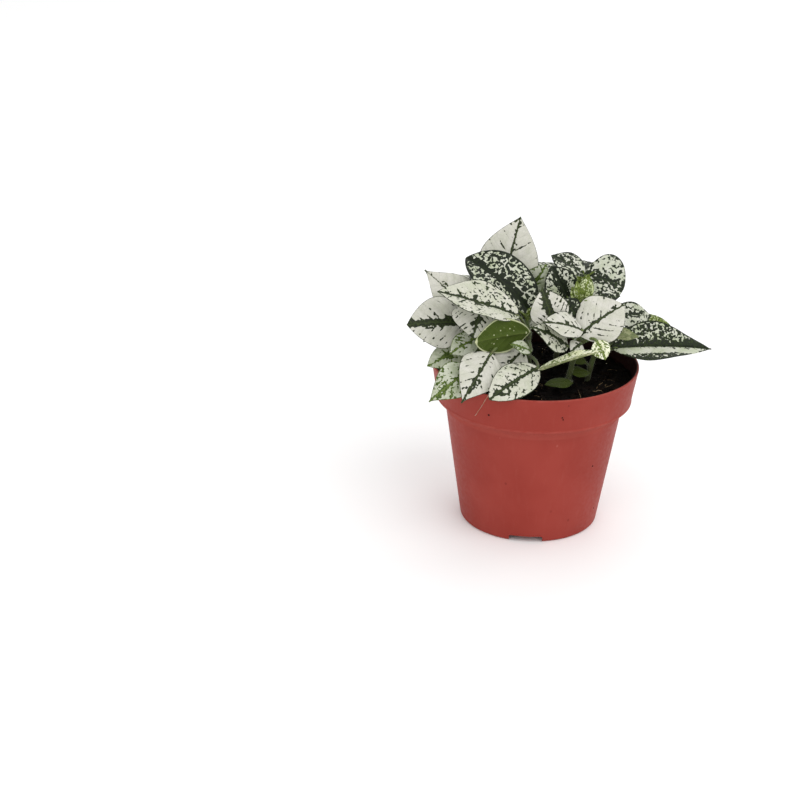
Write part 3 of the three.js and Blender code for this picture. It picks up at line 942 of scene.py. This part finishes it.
# Each shoot: the points that its stem follows, the stem's thickness below and above, the small leaves of
# its tip, its leaves, and sprigs, which are leaves without a stalk.
# Each leaf: its kind and how much more or less ink, the height of its node on the stem, the start and tip
# of its blade, the way its upper side faces, its width, how far its midrib arches, the fold of its halves
# in degrees, the wave of its edge and, where it isn't the usual one, the taper of its outline.
# All lengths in millimetres.
shoots = {
    "shoot_front_left": {
        "slot": "leaf_pale",
        "stem": [(-3, -13, 63), (-4, -14, 84), (-5, -13, 102), (-6, -9, 112)],
        "thick": (3.4, 1.8),
        "buds": 5,
        "leaves": [
            ("dark", 0.03, 108, (-2.4, -3, 109.4), (-36.7, 8, 136.6), (1, -6, 7), 30, 7, 20, 0.8, 0.76),
            ("netted", 0.01, 107, (-10.1, -20, 116.4), (-51.1, -23, 129.5), (-1, -4, 9), 26, 1, 20, 0.8),
            ("white", 0.0, 104, (-28, -13, 119), (-32.9, -25, 106), (-2, -6, 8), 28, 2, 6, 0.6, 1.1),
            ("olive", 0.0, 103, (-5, -23, 109.7), (-32.3, -35, 108.2), (0.5, 9, 1), 19, 1, 6, 0.8, 0.7),
            ("white", 0.02, 104, (-24, -31, 101), (-38.5, -51, 82.5), (1, -7, 6), 22, 2, 5, 0.8, 1.35),
            ("white", 0.0, 97, (-8.1, -21, 98.8), (-24.4, -37, 85.3), (0, -8, 6), 18, 2, 8, 0.6, 1.1),
            ("netted", 0.0, 93, (-0.5, -31, 93.8), (-25.3, -54, 85.9), (1, -7, 8), 19, 3, 6, 0.5, 0.8),
            ("pale", 0.0, 101, (-4.6, -28, 101.1), (-15.1, -34, 106.9), (0, -6, 8), 8, 1, 8, 0.2),
            ("cream", 0.0, 87, (-0.5, -32, 93.1), (29.6, -38, 106.1), (-1, 1, 9), 13, 0.5, 24, 0.5),
            ("young", 0.0, 111, (-6, -8, 113), (-1, -8, 115.6), (0, -8, 5), 5, 0.5, 20, 0),
        ],
    },
    "shoot_front_right": {
        "slot": "leaf_pale",
        "stem": [(14, -12, 63), (17, -13, 86), (21, -13, 108), (21, -6, 119)],
        "thick": (3.2, 1.8),
        "buds": 11,
        "leaves": [
            ("white", 0.0, 107, (19.3, -18, 106.7), (41.7, -10, 119.9), (1, -7, 7), 26, 2, 6, 0.6, 0.85),
            ("white", 0.02, 107, (21.3, -20, 109.5), (0.5, -29, 116.9), (0, -6, 8), 15, 2, 6, 0.6),
            ("bold", 0.04, 106, (7.1, -18, 111), (0.5, -14, 129.5), (0, -9, 3), 20, 1, 10, 0.5, 1.15),
            ("half", 0.02, 112, (19, -11, 114), (10, -13, 123), (0, -9, 4), 12, 1, 8, 0.3),
            ("young", 0.0, 118, (21, -5, 119), (25, 0, 131), (0, -9, 4), 9, 1, 20, 0.2),
            ("young", 0.0, 118, (20, -6, 119), (16, -5, 127), (3, -9, 2), 7, 0.5, 20, 0),
            ("half", 0.0, 117, (25.7, -4, 119.6), (40.6, -2, 121.6), (0, -6, 7), 8, 1, 10, 0.4),
            ("netted", 0.0, 99, (14.3, -22, 101.7), (-5.2, -29, 114.4), (0, -6, 8), 16, 2, 6, 0.5, 1.2),
            ("white", 0.0, 101, (20.7, -20, 102.5), (15.4, -26, 100.4), (0, -7, 6), 9, 1, 6, 0.3),
            ("pale", 0.0, 95, (22, -6, 97), (25, 14, 98), (0, 1, 9), 15, 3, 8, 0.5),
            ("green", 0.0, 80, (17.8, -18, 81.1), (3.7, -22, 81.2), (0, -2, 9), 9, 0.5, 4, 0.2),
            ("green", 0.0, 80, (16.5, -12, 84.3), (27.4, -9, 82.8), (0, -2, 9), 10, 0.5, 4, 0.2),
            ("cream", 0.04, 100, (27.8, -24, 106.1), (32.4, -28, 97.6), (1, -7, 4), 10, 1, 6, 0.3),
        ],
        "sprigs": [("young", 0.0, 118, (20.5, -5.5, 119), (18, -6.5, 130.5), (1, -9, 3), 5.5, 0.5, 14, 0.2)],
    },
    "shoot_right": {
        "slot": "leaf_mottled",
        "stem": [(25, -4, 63), (28, -5, 86), (33, -5, 102), (35, -2, 111)],
        "thick": (3, 1.6),
        "buds": 5,
        "leaves": [
            ("edged", 0.01, 91, (37, -12, 97.5), (88, -4, 95), (0, -5, 8), 27, 2, 28, 0.9, 1.25),
            ("young", 0.0, 101, (46, 6, 106), (69, 8, 102), (0, -5, 8), 11, 1, 10, 0.4),
            ("half", -0.11, 107, (38, 1, 110), (58, 7, 108), (0, -7, 7), 15, 1, 8, 0.5),
            ("pale", 0.02, 98, (34.6, -14, 105.6), (49.6, -16, 105.3), (0, 8, 5), 10, 1, 6, 0.4),
            ("half", 0.0, 92, (38, 4, 93), (64, 22, 91), (3, 2, 9), 21, 4, 8, 0.7),
            ("young", 0.0, 110, (35, -2, 112), (37, 1, 120), (0, -9, 2), 6, 0.5, 20, 0.2),
            ("green", 0.0, 84, (25, -8, 88), (15, -7, 91), (0, -3, 9), 8, 0.5, 4, 0.2),
        ],
    },
    "shoot_left": {
        "slot": "leaf_pale",
        "stem": [(-17, -4, 63), (-20, -4, 84), (-27, -4, 98), (-33, -2, 109)],
        "thick": (3, 1.6),
        "buds": 5,
        "leaves": [
            ("white", -0.14, 108, (-32.3, -1, 111.8), (-57.2, 4, 131.2), (-3, -8, 5), 22, 2, 5, 0.7, 1.4),
            ("bold", 0.02, 100, (-37.1, -5, 106.7), (-65.6, -13, 108.1), (-3, -8, 5), 27, 3, 6, 0.9),
            ("pale", 0.0, 98, (-30, -14, 103), (-44, -22, 96.5), (-1, -7, 6), 13, 1, 6, 0.4),
            ("pale", 0.05, 90, (-33, -32, 93), (-54, -43, 79.5), (0, -8, 6), 19, 3.5, 6, 0.5, 1.3),
            ("pale", 0.0, 90, (-36, -8, 94), (-55, -20, 89), (-1, -7, 6), 14, 1, 6, 0.4),
            ("white", 0.0, 104, (-38, 6, 106), (-59, 19, 104), (-4, 2, 8), 22, 3, 8, 0.8),
            ("netted", 0.0, 92, (-34, 4, 92), (-57, 13, 89), (-4, 3, 8), 22, 4, 8, 0.8),
            ("young", 0.0, 108.5, (-33, -2, 110), (-31, -1, 117), (0, -9, 2), 5, 0.5, 20, 0),
        ],
        "sprigs": [("pale", 0.05, 100, (-28.5, -3.5, 100), (-41, -2, 101), (-1, -8, 5), 7, 0.5, 8, 0.3)],
    },
    "shoot_back_left": {
        "slot": "leaf_pale",
        "stem": [(-6, 9, 63), (-8, 10, 90), (-13, 11, 110), (-13, 8, 121)],
        "thick": (3.2, 1.8),
        "buds": 5,
        "leaves": [
            ("white", 0.0, 112, (-18.9, 12, 116), (-9.1, 26, 153.1), (1, -9, 3), 31, 1, 5, 0.9, 1.1),
            ("pale", 0.0, 112, (-5, 12, 116), (4, 11, 133), (0, -9, 3), 14, 1, 8, 0.4),
            ("netted", 0.0, 113, (-17, 17, 117), (-28, 40, 123), (-1, 2, 9), 24, 4, 8, 0.9, 1.2),
            ("white", 0.0, 108, (-9, 20, 112), (-5, 47, 112), (0, 5, 8), 25, 5, 8, 0.9),
            ("half", -0.02, 102, (-21, 16, 104), (-47, 33, 105), (-3, 4, 8), 25, 5, 8, 0.9),
            ("white", 0.0, 97, (-15, 24, 98), (-25, 51, 91), (-1, 7, 6), 23, 4, 8, 0.8, 1.2),
            ("netted", 0.0, 88, (-5, 22, 92), (-4, 52, 88), (0, 6, 7), 21, 4, 8, 0.8),
            ("white", 0.0, 90, (-22, 17, 92), (-47, 35, 87), (-4, 5, 7), 20, 4, 8, 0.7, 1.2),
            ("half", 0.0, 111, (-21, 13, 113), (-45, 23, 120), (-2, 1, 9), 21, 4, 8, 0.8),
            ("young", 0.0, 120.5, (-13, 7, 122), (-11, 6, 131), (0, -9, 2), 6, 0.5, 20, 0),
            ("young", 0.0, 120.5, (-14, 9, 122), (-17, 11, 129), (3, -9, 2), 5, 0.5, 20, 0),
        ],
    },
    "shoot_back_right": {
        "slot": "leaf_mottled",
        "stem": [(11, 14, 63), (13, 15, 92), (19, 14, 113), (24, 13, 125)],
        "thick": (3.2, 1.8),
        "buds": 5,
        "leaves": [
            ("dark", -0.04, 113, (15, 4, 118), (6, 6, 134), (0, -9, 3), 17, 1, 8, 0.4),
            ("half", 0.02, 122, (24.1, 15, 126.2), (6.9, 20, 134.8), (0, -3, 9), 18, 1, 8, 0.4),
            ("half", 0.0, 122, (23.4, 13, 127.2), (43.7, 9, 122.5), (0, -7, 6), 29, 1, 14, 0.6, 0.65),
            ("dark", 0.0, 120, (22, 20, 122), (33, 42, 122), (1, 4, 8), 24, 5, 8, 0.9),
            ("half", 0.0, 116, (13, 21, 119), (9, 48, 120), (0, 4, 8), 24, 5, 8, 0.9, 1.15),
            ("half", 0.03, 104, (27, 17, 106), (53, 29, 100), (3, 4, 8), 24, 5, 8, 0.9),
            ("dark", 0.0, 103, (20, 24, 106), (29, 53, 100), (1, 6, 7), 24, 4, 8, 0.9),
            ("half", 0.0, 94, (14, 24, 97), (13, 55, 90), (0, 6, 7), 22, 4, 8, 0.8, 1.2),
            ("dark", -0.02, 90, (24, 20, 93), (48, 40, 88), (3, 5, 7), 21, 4, 8, 0.8),
            ("pale", 0.0, 103, (8, 8, 105), (-5, -2, 108), (0, -3, 9), 13, 2, 8, 0.4),
            ("young", 0.0, 124, (23.2, 8, 123.2), (24.9, 6, 129.9), (0, -9, 2), 6, 0.5, 20, 0),
            ("young", 0.0, 124, (22.8, 9, 122.7), (19.4, 8, 128), (3, -9, 2), 6, 0.5, 20, 0),
        ],
    },
}


leafNames = ("kind", "ink", "node", "start", "tip", "faces", "width", "arch", "fold", "wave", "taper")

# no leaf and no hair leaves the model's own box
margin = 0.02
lowest = np.array(cadBox[0]) / mm + margin
highest = np.array(cadBox[1]) / mm - margin


def leafFrom(row):
    leaf = {"taper": leafShape["taper"], **dict(zip(leafNames, row))}
    for name in ("start", "tip", "faces"):
        leaf[name] = np.array(leaf[name], float)
    leaf["chord"] = float(np.linalg.norm(leaf["tip"] - leaf["start"]))
    return leaf


def midribAt(leaf, share):
    # the midrib's points, its direction and the upper side's direction, for shares from base to tip
    share = np.asarray(share, float)[..., None]
    chord = unit(leaf["tip"] - leaf["start"])
    up = unit(leaf["faces"] - chord * np.dot(leaf["faces"], chord))
    middle = (leaf["start"] + leaf["tip"]) / 2 + up * 2 * leaf["arch"]
    centre = leaf["start"] * (1 - share) ** 2 + middle * 2 * share * (1 - share) + leaf["tip"] * share ** 2
    along = unit((middle - leaf["start"]) * (1 - share) + (leaf["tip"] - middle) * share)
    upright = unit(up - along * (along @ up)[..., None])
    return centre, along, upright


def outlineAt(share, taper):
    return share ** leafShape["swell"] * (1 - share) ** taper


def halfWidths(leaf, share):
    least = leafShape["baseHalfWidth"] * (1 - share) + leafShape["tipHalfWidth"] * share
    widest = outlineAt(leafShape["swell"] / (leafShape["swell"] + leaf["taper"]), leaf["taper"])
    return np.maximum(least, outlineAt(share, leaf["taper"]) / widest * leaf["width"] / 2)


def crinkled(lengths, out, phase):
    rate = leafShape["crinkleRate"]
    rows = []
    for line in np.stack([lengths * rate + phase * leafShape["apart"][1], out * rate], -1):
        rows.append([noise.noise(Vector((x, y, phase))) for x, y in line])
    return np.array(rows) * leafShape["crinkle"] * np.clip(np.abs(out) / leafShape["crinkleFrom"], 0, 1)


def bladeGrid(leaf, phase, steps, lanes):
    # the middle surface of a blade, and for each point its place, its veins and its share of the midrib
    even = np.linspace(0, 1, steps + 1)
    share = (even + (1 - np.cos(np.pi * even)) / 2) / 2
    centre, along, up = midribAt(leaf, share)
    side = np.cross(along, up)
    share = share[:, None]
    across = np.linspace(-1, 1, lanes + 1)[None]
    half = halfWidths(leaf, share)
    out = across * half
    away = np.abs(out)
    fold = math.radians(leaf["fold"])
    # the wave of the edge
    lag = np.where(across > 0, 0.0, leafShape["waveLag"])
    ripple = np.sin(leafShape["waveRate"] * share + phase + lag) * np.sqrt(np.abs(np.sin(np.pi * share)))
    lift = away * math.sin(fold) + across ** 2 * (leaf["wave"] * ripple - leafShape["edgeDroop"] * half)
    # the side veins
    lengths = leaf["chord"] * share * np.ones_like(across)
    spacing = max(leafShape["leastSpacing"], leaf["chord"] / leafShape["veinPairs"])
    curve = leafShape["veinCurve"] * away ** 2 / (leaf["width"] / 2)
    flow = (lengths - leafShape["veinLean"] * away - curve) / spacing
    beat = np.mod(flow + np.where(across < 0, leafShape["sideLag"], 0), 1) - 0.5
    fromVein = np.abs(beat) * spacing
    # relief: bulges between the veins, a groove over the midrib and fine crinkles
    size = min(1.0, leaf["chord"] / leafShape["full"])
    fade = np.clip(away / leafShape["quiltFrom"], 0, 1) * (1 - np.abs(across) ** 5)
    sunk = np.exp(-(fromVein / leafShape["veinWidth"]) ** 2)
    quilt = leafShape["quilt"] * fade * (leafShape["quiltLevel"] - sunk)
    groove = -leafShape["groove"] * np.exp(-(away / leafShape["grooveWidth"]) ** 2)
    ends = np.clip(np.minimum(share, 1 - share) / leafShape["flatEnds"], 0, 1)
    lift = lift + (quilt + groove + crinkled(lengths, out, phase)) * size * ends
    sideways = (out * math.cos(fold))[..., None]
    points = centre[:, None] + side[:, None] * sideways + up[:, None] * lift[..., None]
    # what the finish needs: the place on the blade, the distance to its rim, the veins and the ink
    foot, tip = leafShape["rimAtEnds"]
    toEnds = np.minimum(share * leaf["chord"] * foot, (1 - share) * leaf["chord"] * tip)
    rim = np.minimum((1 - np.abs(across)) * half, toEnds)
    place = np.stack([lengths + phase * leafShape["apart"][0], out, rim], -1)
    fallen = np.clip((share - leafShape["inkFallFrom"]) / (1 - leafShape["inkFallFrom"]), 0, 1)
    ink = leaf["ink"] - leafShape["inkFall"] * fallen * np.ones_like(flow)
    net = np.stack([flow, np.full_like(flow, spacing), ink], -1)
    rib = np.exp(-(away / leafShape["ribWidth"]) ** 2) * (1 - share) * ends
    return points, place, net, rib


def gridNormals(points):
    return unit(np.cross(np.gradient(points, axis=1), np.gradient(points, axis=0)))


def bladeFaces(steps, lanes):
    # the faces of both sides and those of the rim, each corner as step, lane and side (0 upper, 1 lower)
    blades = []
    for step in range(steps):
        for lane in range(lanes):
            square = [(step, lane), (step, lane + 1), (step + 1, lane + 1), (step + 1, lane)]
            blades.append([(*corner, 0) for corner in square])
            blades.append([(*corner, 1) for corner in square[:1] + square[:0:-1]])
    path = [(0, lane) for lane in range(lanes)] + [(step, lanes) for step in range(steps)]
    path += [(steps, lane) for lane in range(lanes, 0, -1)] + [(step, 0) for step in range(steps, 0, -1)]
    pairs = zip(path, path[1:] + path[:1])
    rims = [[(*here, 0), (*here, 1), (*after, 1), (*after, 0)] for here, after in pairs]
    return blades, rims


# where a leaf's faces lie on its bake square: the upper side, the underside above it, the rim between them
bakeShape = {
    "left": 0.015,
    "width": 0.97,
    "foot": 0.01,
    "height": 0.46,
    "underside": 0.52,
    "rimFeet": (0.501, 0.481),
    "rimHeight": 0.018,
}


def bakeCorners(blades, rims, steps, lanes):
    shape = bakeShape
    corners = []
    for step, lane, side in (corner for face in blades for corner in face):
        height = shape["foot"] + shape["underside"] * side + shape["height"] * lane / lanes
        corners.append((shape["left"] + shape["width"] * step / steps, height))
    for step, lane, side in (corner for face in rims for corner in face):
        height = shape["rimFeet"][lane > lanes / 2] + shape["rimHeight"] * side
        corners.append((shape["left"] + shape["width"] * step / steps, height))
    return np.array(corners, np.float32)


def makeLeaf(name, leaf, phase, slotName, node):
    # two skins on either side of the middle surface, thinner at the rim, with the midrib below
    shape = leafShape
    steps, lanes = shape["smallGrid" if leaf["chord"] < shape["small"] else "grid"]
    points, place, net, rib = bladeGrid(leaf, phase, steps, lanes)
    normals = gridNormals(points)
    thick = np.full(points.shape[:2], shape["thickness"] / 2)
    thick[:, 0] = thick[:, -1] = shape["rimThickness"] / 2
    thick[0] = np.maximum(thick[0], shape["footThickness"] / 2)
    thick[-1] = shape["rimThickness"] / 2
    ribDepth = shape["ribDepth"] * min(1.0, leaf["width"] / shape["ribLeafWidth"])
    upper = points + normals * thick[..., None]
    lower = points - normals * (thick + rib * ribDepth)[..., None]
    allPoints = np.clip(np.concatenate([upper, lower]).reshape(-1, 3), lowest, highest)
    values = {
        "leafPlace": np.concatenate([place, place]),
        "leafNet": np.concatenate([net, net]),
    }
    blades, rims = bladeFaces(steps, lanes)
    faces = [tuple((side * (steps + 1) + step) * (lanes + 1) + lane for step, lane, side in face)
             for face in blades + rims]
    faceSlots = [face[0][2] for face in blades] + [0] * len(rims)
    piece = makePiece(name, allPoints, faces, leafMaterials[leaf["kind"]], slotName, node, faceSlots,
                      values, shape["sharpAngle"])
    spread = piece.data.uv_layers.new(name="OFBake")
    spread.data.foreach_set("uv", bakeCorners(blades, rims, steps, lanes).ravel())
    return points, normals


# Stems and stalks
stemShape = {
    "sides": 14,
    "points": 70,
    "swelling": 0.168,
    "swellingLength": 1.4,
    "thickest": 1.12,
    "tip": (0.79, 0.57, 0.35),  # how the last three rings narrow
    "sharpAngle": 60,
}

stalkShape = {
    "sides": 10,
    "steps": 16,
    "radius": 0.85,
    "smallRadius": 0.6,
    "smallLeafWidth": 10,
    "reach": 0.06,
    "rise": 0.6,
    "leave": 0.35,
    "arrive": 0.3,
    "narrowing": (1.1, 0.8),
    "foot": 1.25,
    "end": (0.85, 0.45),
}

tipShape = {
    "reach": 5.8,
    "sizes": (0.7, 1.15),
    "growth": (0.7, 0.6),
    "rise": 0.75,
    "facing": 0.4,
    "fromStem": 0.5,
    "width": 0.5,
    "leaf": {"kind": "young", "ink": 0.0, "arch": 0.5, "fold": 26, "wave": 0.15, "taper": 1.0},
    "sprigPhase": 3.1,
}

hairShape = {
    "onStem": 520,
    "onStalk": 40,
    "onLeaf": 150,
    "lengths": (0.5, 1.3),
    "radius": 0.035,
    "lowest": 78.5,
    "depth": 0.92,
    "leans": (-0.5, 0.4),
    "leafLengths": (0.3, 0.65),
    "leafRadius": 0.022,
    "leafLean": 0.35,
    "leafDepth": 0.1,
    "rimLean": 0.2,
    "onRim": 0.3,
    "above": 0.75,
}

stemFinish = {
    # low: painted shade on the stems low down, where the leaves shade them
    "low": paint(46, 46, 24),
    "high": paint(86, 104, 46),
    "streak": paint(118, 130, 74),
    "blush": paint(96, 62, 52),
    "hair": paint(214, 216, 198),
    # the heights over which the stems' painted shade fades out
    "shadeHeights": (90, 116),
    "sheen": 0.15,
    "hairRoughness": 0.5,
}


def throughPoints(points, share):
    # a smooth curve through points, as the stems of the model follow
    points = [np.array(point, float) for point in points]
    last = len(points) - 1
    index = min(int(last * share), last - 1)
    weight = last * share - index
    here = points[index]
    ahead = points[index + 1]
    before = points[index - 1] if index > 0 else 2 * here - ahead
    after = points[index + 2] if index + 2 <= last else 2 * ahead - here
    pairs = ((before, here), (here, ahead), (ahead, after))
    first, second, third = [np.dot(b - a, b - a) ** 0.25 for a, b in pairs]
    leave = (here - before) / first - (ahead - before) / (first + second) + (ahead - here) / second
    arrive = (ahead - here) / second - (after - here) / (second + third) + (after - ahead) / third
    leave = leave * second
    arrive = arrive * second
    square = -3 * here + 3 * ahead - 2 * leave - arrive
    cube = 2 * here - 2 * ahead + leave + arrive
    return here + leave * weight + square * weight ** 2 + cube * weight ** 3


def stemPoint(points, height):
    # the point of the stem at a height, found by halving
    low = 0.0
    high = 1.0
    for halving in range(24):
        middle = (low + high) / 2
        if throughPoints(points, middle)[2] < height:
            low = middle
        else:
            high = middle
    return throughPoints(points, low)


def stemLine(shape, shoot):
    shares = np.linspace(0, 1, shape["points"])
    route = np.array([throughPoints(shoot["stem"], share) for share in shares])
    low, high = shoot["thick"]
    radii = np.linspace(low / 2, high / 2, len(route))
    for row in shoot["leaves"]:
        apart = (route[:, 2] - leafFrom(row)["node"]) / shape["swellingLength"]
        radii *= 1 + shape["swelling"] * np.exp(-apart ** 2)
    radii = np.minimum(radii, low / 2 * shape["thickest"])
    radii[-3:] *= shape["tip"]
    return route, radii


def stalkLine(shape, shoot, leaf):
    # from the stem's node outwards and up, then into the base of the blade
    root = stemPoint(shoot["stem"], leaf["node"])
    centre, along = midribAt(leaf, [shape["reach"], 0.0])[:2]
    end = centre[0]
    length = np.linalg.norm(end - root)
    out = unit((end - root) * (1, 1, 0)) + (0, 0, shape["rise"])
    leave = root + unit(out) * length * shape["leave"]
    arrive = end - along[1] * length * shape["arrive"]
    share = np.linspace(0, 1, shape["steps"] + 1)[:, None]
    rest = 1 - share
    middle = leave * 3 * share * rest ** 2 + arrive * 3 * share ** 2 * rest
    route = root * rest ** 3 + middle + end * share ** 3
    radius = shape["smallRadius"] if leaf["width"] < shape["smallLeafWidth"] else shape["radius"]
    radii = radius * np.linspace(*shape["narrowing"], len(route))
    radii[0] *= shape["foot"]
    radii[-2:] *= shape["end"]
    return route, radii


def budLeaf(shape, route, index, count, turn):
    # a small leaf of the growing tip
    least, more = shape["growth"]
    reach = shape["reach"] * random.uniform(*shape["sizes"]) * (least + more * index / count)
    out = np.array(polar(1, turn))
    up = np.array([0, 0, 1.0])
    start = route[-1 - 2 * (index % 3)] + out * shape["fromStem"]
    tip = start + (out + up) * reach * shape["rise"]
    facing = up - out * shape["facing"]
    width = reach * shape["width"]
    return {**shape["leaf"], "start": start, "tip": tip, "faces": facing, "width": width, "chord": reach}


def hair(root, direction, length, radius):
    # one tapered hair with three sides, or none where it would leave the model's box
    direction = unit(direction)
    end = root + direction * length
    if np.any(end < lowest) or np.any(end > highest):
        return []
    guide = np.array([0.2, 0.5, 0.84]) if abs(direction[2]) < 0.8 else np.array([1.0, 0.1, 0.0])
    one = unit(np.cross(direction, guide))
    two = np.cross(direction, one)
    turns = (0.0, 2.094, 4.189)
    foot = [root + (one * math.cos(turn) + two * math.sin(turn)) * radius for turn in turns]
    return [(foot + [end], [(0, 1, 3), (1, 2, 3), (2, 0, 3), (0, 2, 1)])]


def stemHairs(shape, route, radii, count):
    hairs = []
    for index in range(count):
        step = random.randrange(1, len(route) - 1)
        if route[step][2] < shape["lowest"]:
            continue
        ahead = route[step + 1] - route[step]
        along = unit(ahead)
        out = np.array([random.gauss(0, 1) for axis in range(3)])
        out = unit(out - along * np.dot(out, along))
        root = route[step] + ahead * random.random() + out * radii[step] * shape["depth"]
        lean = out + along * random.uniform(*shape["leans"])
        hairs += hair(root, lean, random.uniform(*shape["lengths"]), shape["radius"])
    return hairs


def leafHairs(shape, leaf, grid, normals):
    hairs = []
    steps = len(grid) - 1
    lanes = len(grid[0]) - 1
    for index in range(int(shape["onLeaf"] * min(1, leaf["chord"] / leafShape["full"]))):
        step = random.randrange(2, steps - 1)
        choice = random.random()
        onRim = choice < shape["onRim"]
        lane = random.choice((0, lanes)) if onRim else random.randrange(1, lanes)
        up = normals[step, lane] * (1 if choice < shape["above"] else -1)
        root = grid[step, lane] + up * shape["leafDepth"]
        lean = up + np.array([random.gauss(0, shape["leafLean"]) for axis in range(3)])
        if onRim:
            lean = (grid[step, lane] - grid[step, lanes // 2] + up + lean) * shape["rimLean"]
        hairs += hair(root, lean, random.uniform(*shape["leafLengths"]), shape["leafRadius"])
    return hairs


def makeStemMaterial(finish):
    material, tree, shader = newMaterial("stem_green")
    here = inPlace(tree)
    streak = rise(cloudy(inPlace(tree, (1, 1, 0.15)), 2.2, 3, 0.6), 0.48, 0.7, 0, 0.6)
    blush = rise(cloudy(here, 0.3, 3), 0.52, 0.72, 0, 0.5)
    height = plus(parted(here)[2], times(cloudy(here, 0.12), 24))
    # painted shade: the stems darker lower down, under the leaves
    dark = rise(height, *finish["shadeHeights"], 0.85, 0)
    layers = [(streak, finish["streak"]), (blush, finish["blush"]), (dark, finish["low"])]
    colour = layered(finish["high"], layers)
    rough = rise(cloudy(here, 1.1), 0.3, 0.7, 0.42, 0.6)
    feed(shader, {"Base Color": colour, "Roughness": rough, "Sheen Weight": finish["sheen"]})
    bumped(shader, cloudy(inPlace(tree, (1, 1, 0.25)), 2.4, 3, 0.6), 0.5, 0.12)
    return material


def makeHairMaterial(finish):
    material, tree, shader = newMaterial("fine_hair")
    colour = mixed(cloudy(inPlace(tree), 0.4), finish["hair"], finish["streak"])
    feed(shader, {"Base Color": colour, "Roughness": finish["hairRoughness"]})
    return material


def makeShoot(node, shoot, shootIndex):
    label = node.replace("shoot_", "")
    slotName = shoot["slot"]
    lines = [stemLine(stemShape, shoot)]
    grown = []

    def grow(kind, index, leaf, phase):
        name = f"{kind}_{label}_{index + 1:02d}"
        grown.append((leaf, *makeLeaf(name, leaf, phase, slotName, node)))

    for index, row in enumerate(shoot["leaves"]):
        leaf = leafFrom(row)
        lines.append(stalkLine(stalkShape, shoot, leaf))
        grow("leaf", index, leaf, leafShape["turn"] * index + shootIndex)
    for index in range(shoot["buds"]):
        turn = leafShape["turn"] * index + shootIndex
        grow("bud", index, budLeaf(tipShape, lines[0][0], index, shoot["buds"], turn), turn)
    for index, row in enumerate(shoot.get("sprigs", [])):
        grow("sprig", index, leafFrom(row), tipShape["sprigPhase"])
    sides = [stemShape["sides"]] + [stalkShape["sides"]] * len(shoot["leaves"])
    points, faces = joined(tube(route, radii, count) for (route, radii), count in zip(lines, sides))
    angle = stemShape["sharpAngle"]
    makePiece("stems_" + label, points, faces, [stemMaterial], slotName, node, sharp=angle)
    counts = [hairShape["onStem"]] + [hairShape["onStalk"]] * len(shoot["leaves"])
    hairs = []
    for (route, radii), count in zip(lines, counts):
        hairs += stemHairs(hairShape, route, radii, count)
    for leaf, grid, normals in grown:
        hairs += leafHairs(hairShape, leaf, grid, normals)
    makePiece("hairs_" + label, *joined(hairs), [hairMaterial], slotName, node)
    print(node, "made:", len(shoot["leaves"]), "leaves")


stemMaterial = makeStemMaterial(stemFinish)
hairMaterial = makeHairMaterial(stemFinish)
for shootIndex, (node, shoot) in enumerate(shoots.items()):
    makeShoot(node, shoot, shootIndex)


# Floor and soft studio light
stageSettings = {
    "floorSize": 8,
    "floorColours": [(0.97, 0.97, 0.97, 1), (0.985, 0.985, 0.982, 1)],
    "floorRoughness": 0.9,
    "worldStrength": 0.78,
    "aim": (0, 0, 0.08),
    "lamps": [
        {"name": "key", "place": (0.75, -1.0, 1.5), "size": 1.8, "power": 14.0},
        {"name": "fill", "place": (-0.7, -1.5, 0.75), "size": 1.4, "power": 4.8},
        {"name": "side", "place": (1.2, 0.75, 0.45), "size": 0.9, "power": 3.2},
        {"name": "back", "place": (0.2, 1.4, 1.6), "size": 1.4, "power": 6.5},
    ],
}


def makeFloor(settings):
    material, tree, shader = newMaterial("floor_pale")
    colour = mixed(cloudy(inPlace(tree), 0.004), *settings["floorColours"])
    feed(shader, {"Base Color": colour, "Roughness": settings["floorRoughness"]})
    mesh = bpy.data.meshes.new("floor")
    half = settings["floorSize"] / 2
    corners = [(-half, -half, 0), (half, -half, 0), (half, half, 0), (-half, half, 0)]
    mesh.from_pydata(corners, [], [(0, 1, 2, 3)])
    mesh.materials.append(material)
    newObject("floor", mesh)


def makeLight(settings):
    for row in settings["lamps"]:
        lamp = bpy.data.lights.new(row["name"], "AREA")
        lamp.shape = "DISK"
        lamp.size = row["size"]
        lamp.energy = row["power"]
        holder = newObject(row["name"], lamp)
        holder.location = row["place"]
        toward = Vector(settings["aim"]) - Vector(row["place"])
        holder.rotation_euler = toward.to_track_quat("-Z", "Y").to_euler()
    world = bpy.data.worlds.new("studio")
    world.use_nodes = True
    feed(world.node_tree.nodes["Background"], {"Color": (1, 1, 1, 1), "Strength": settings["worldStrength"]})
    bpy.context.scene.world = world
    bpy.context.scene.view_settings.view_transform = "Standard"


makeFloor(stageSettings)
makeLight(stageSettings)
print("stage made")
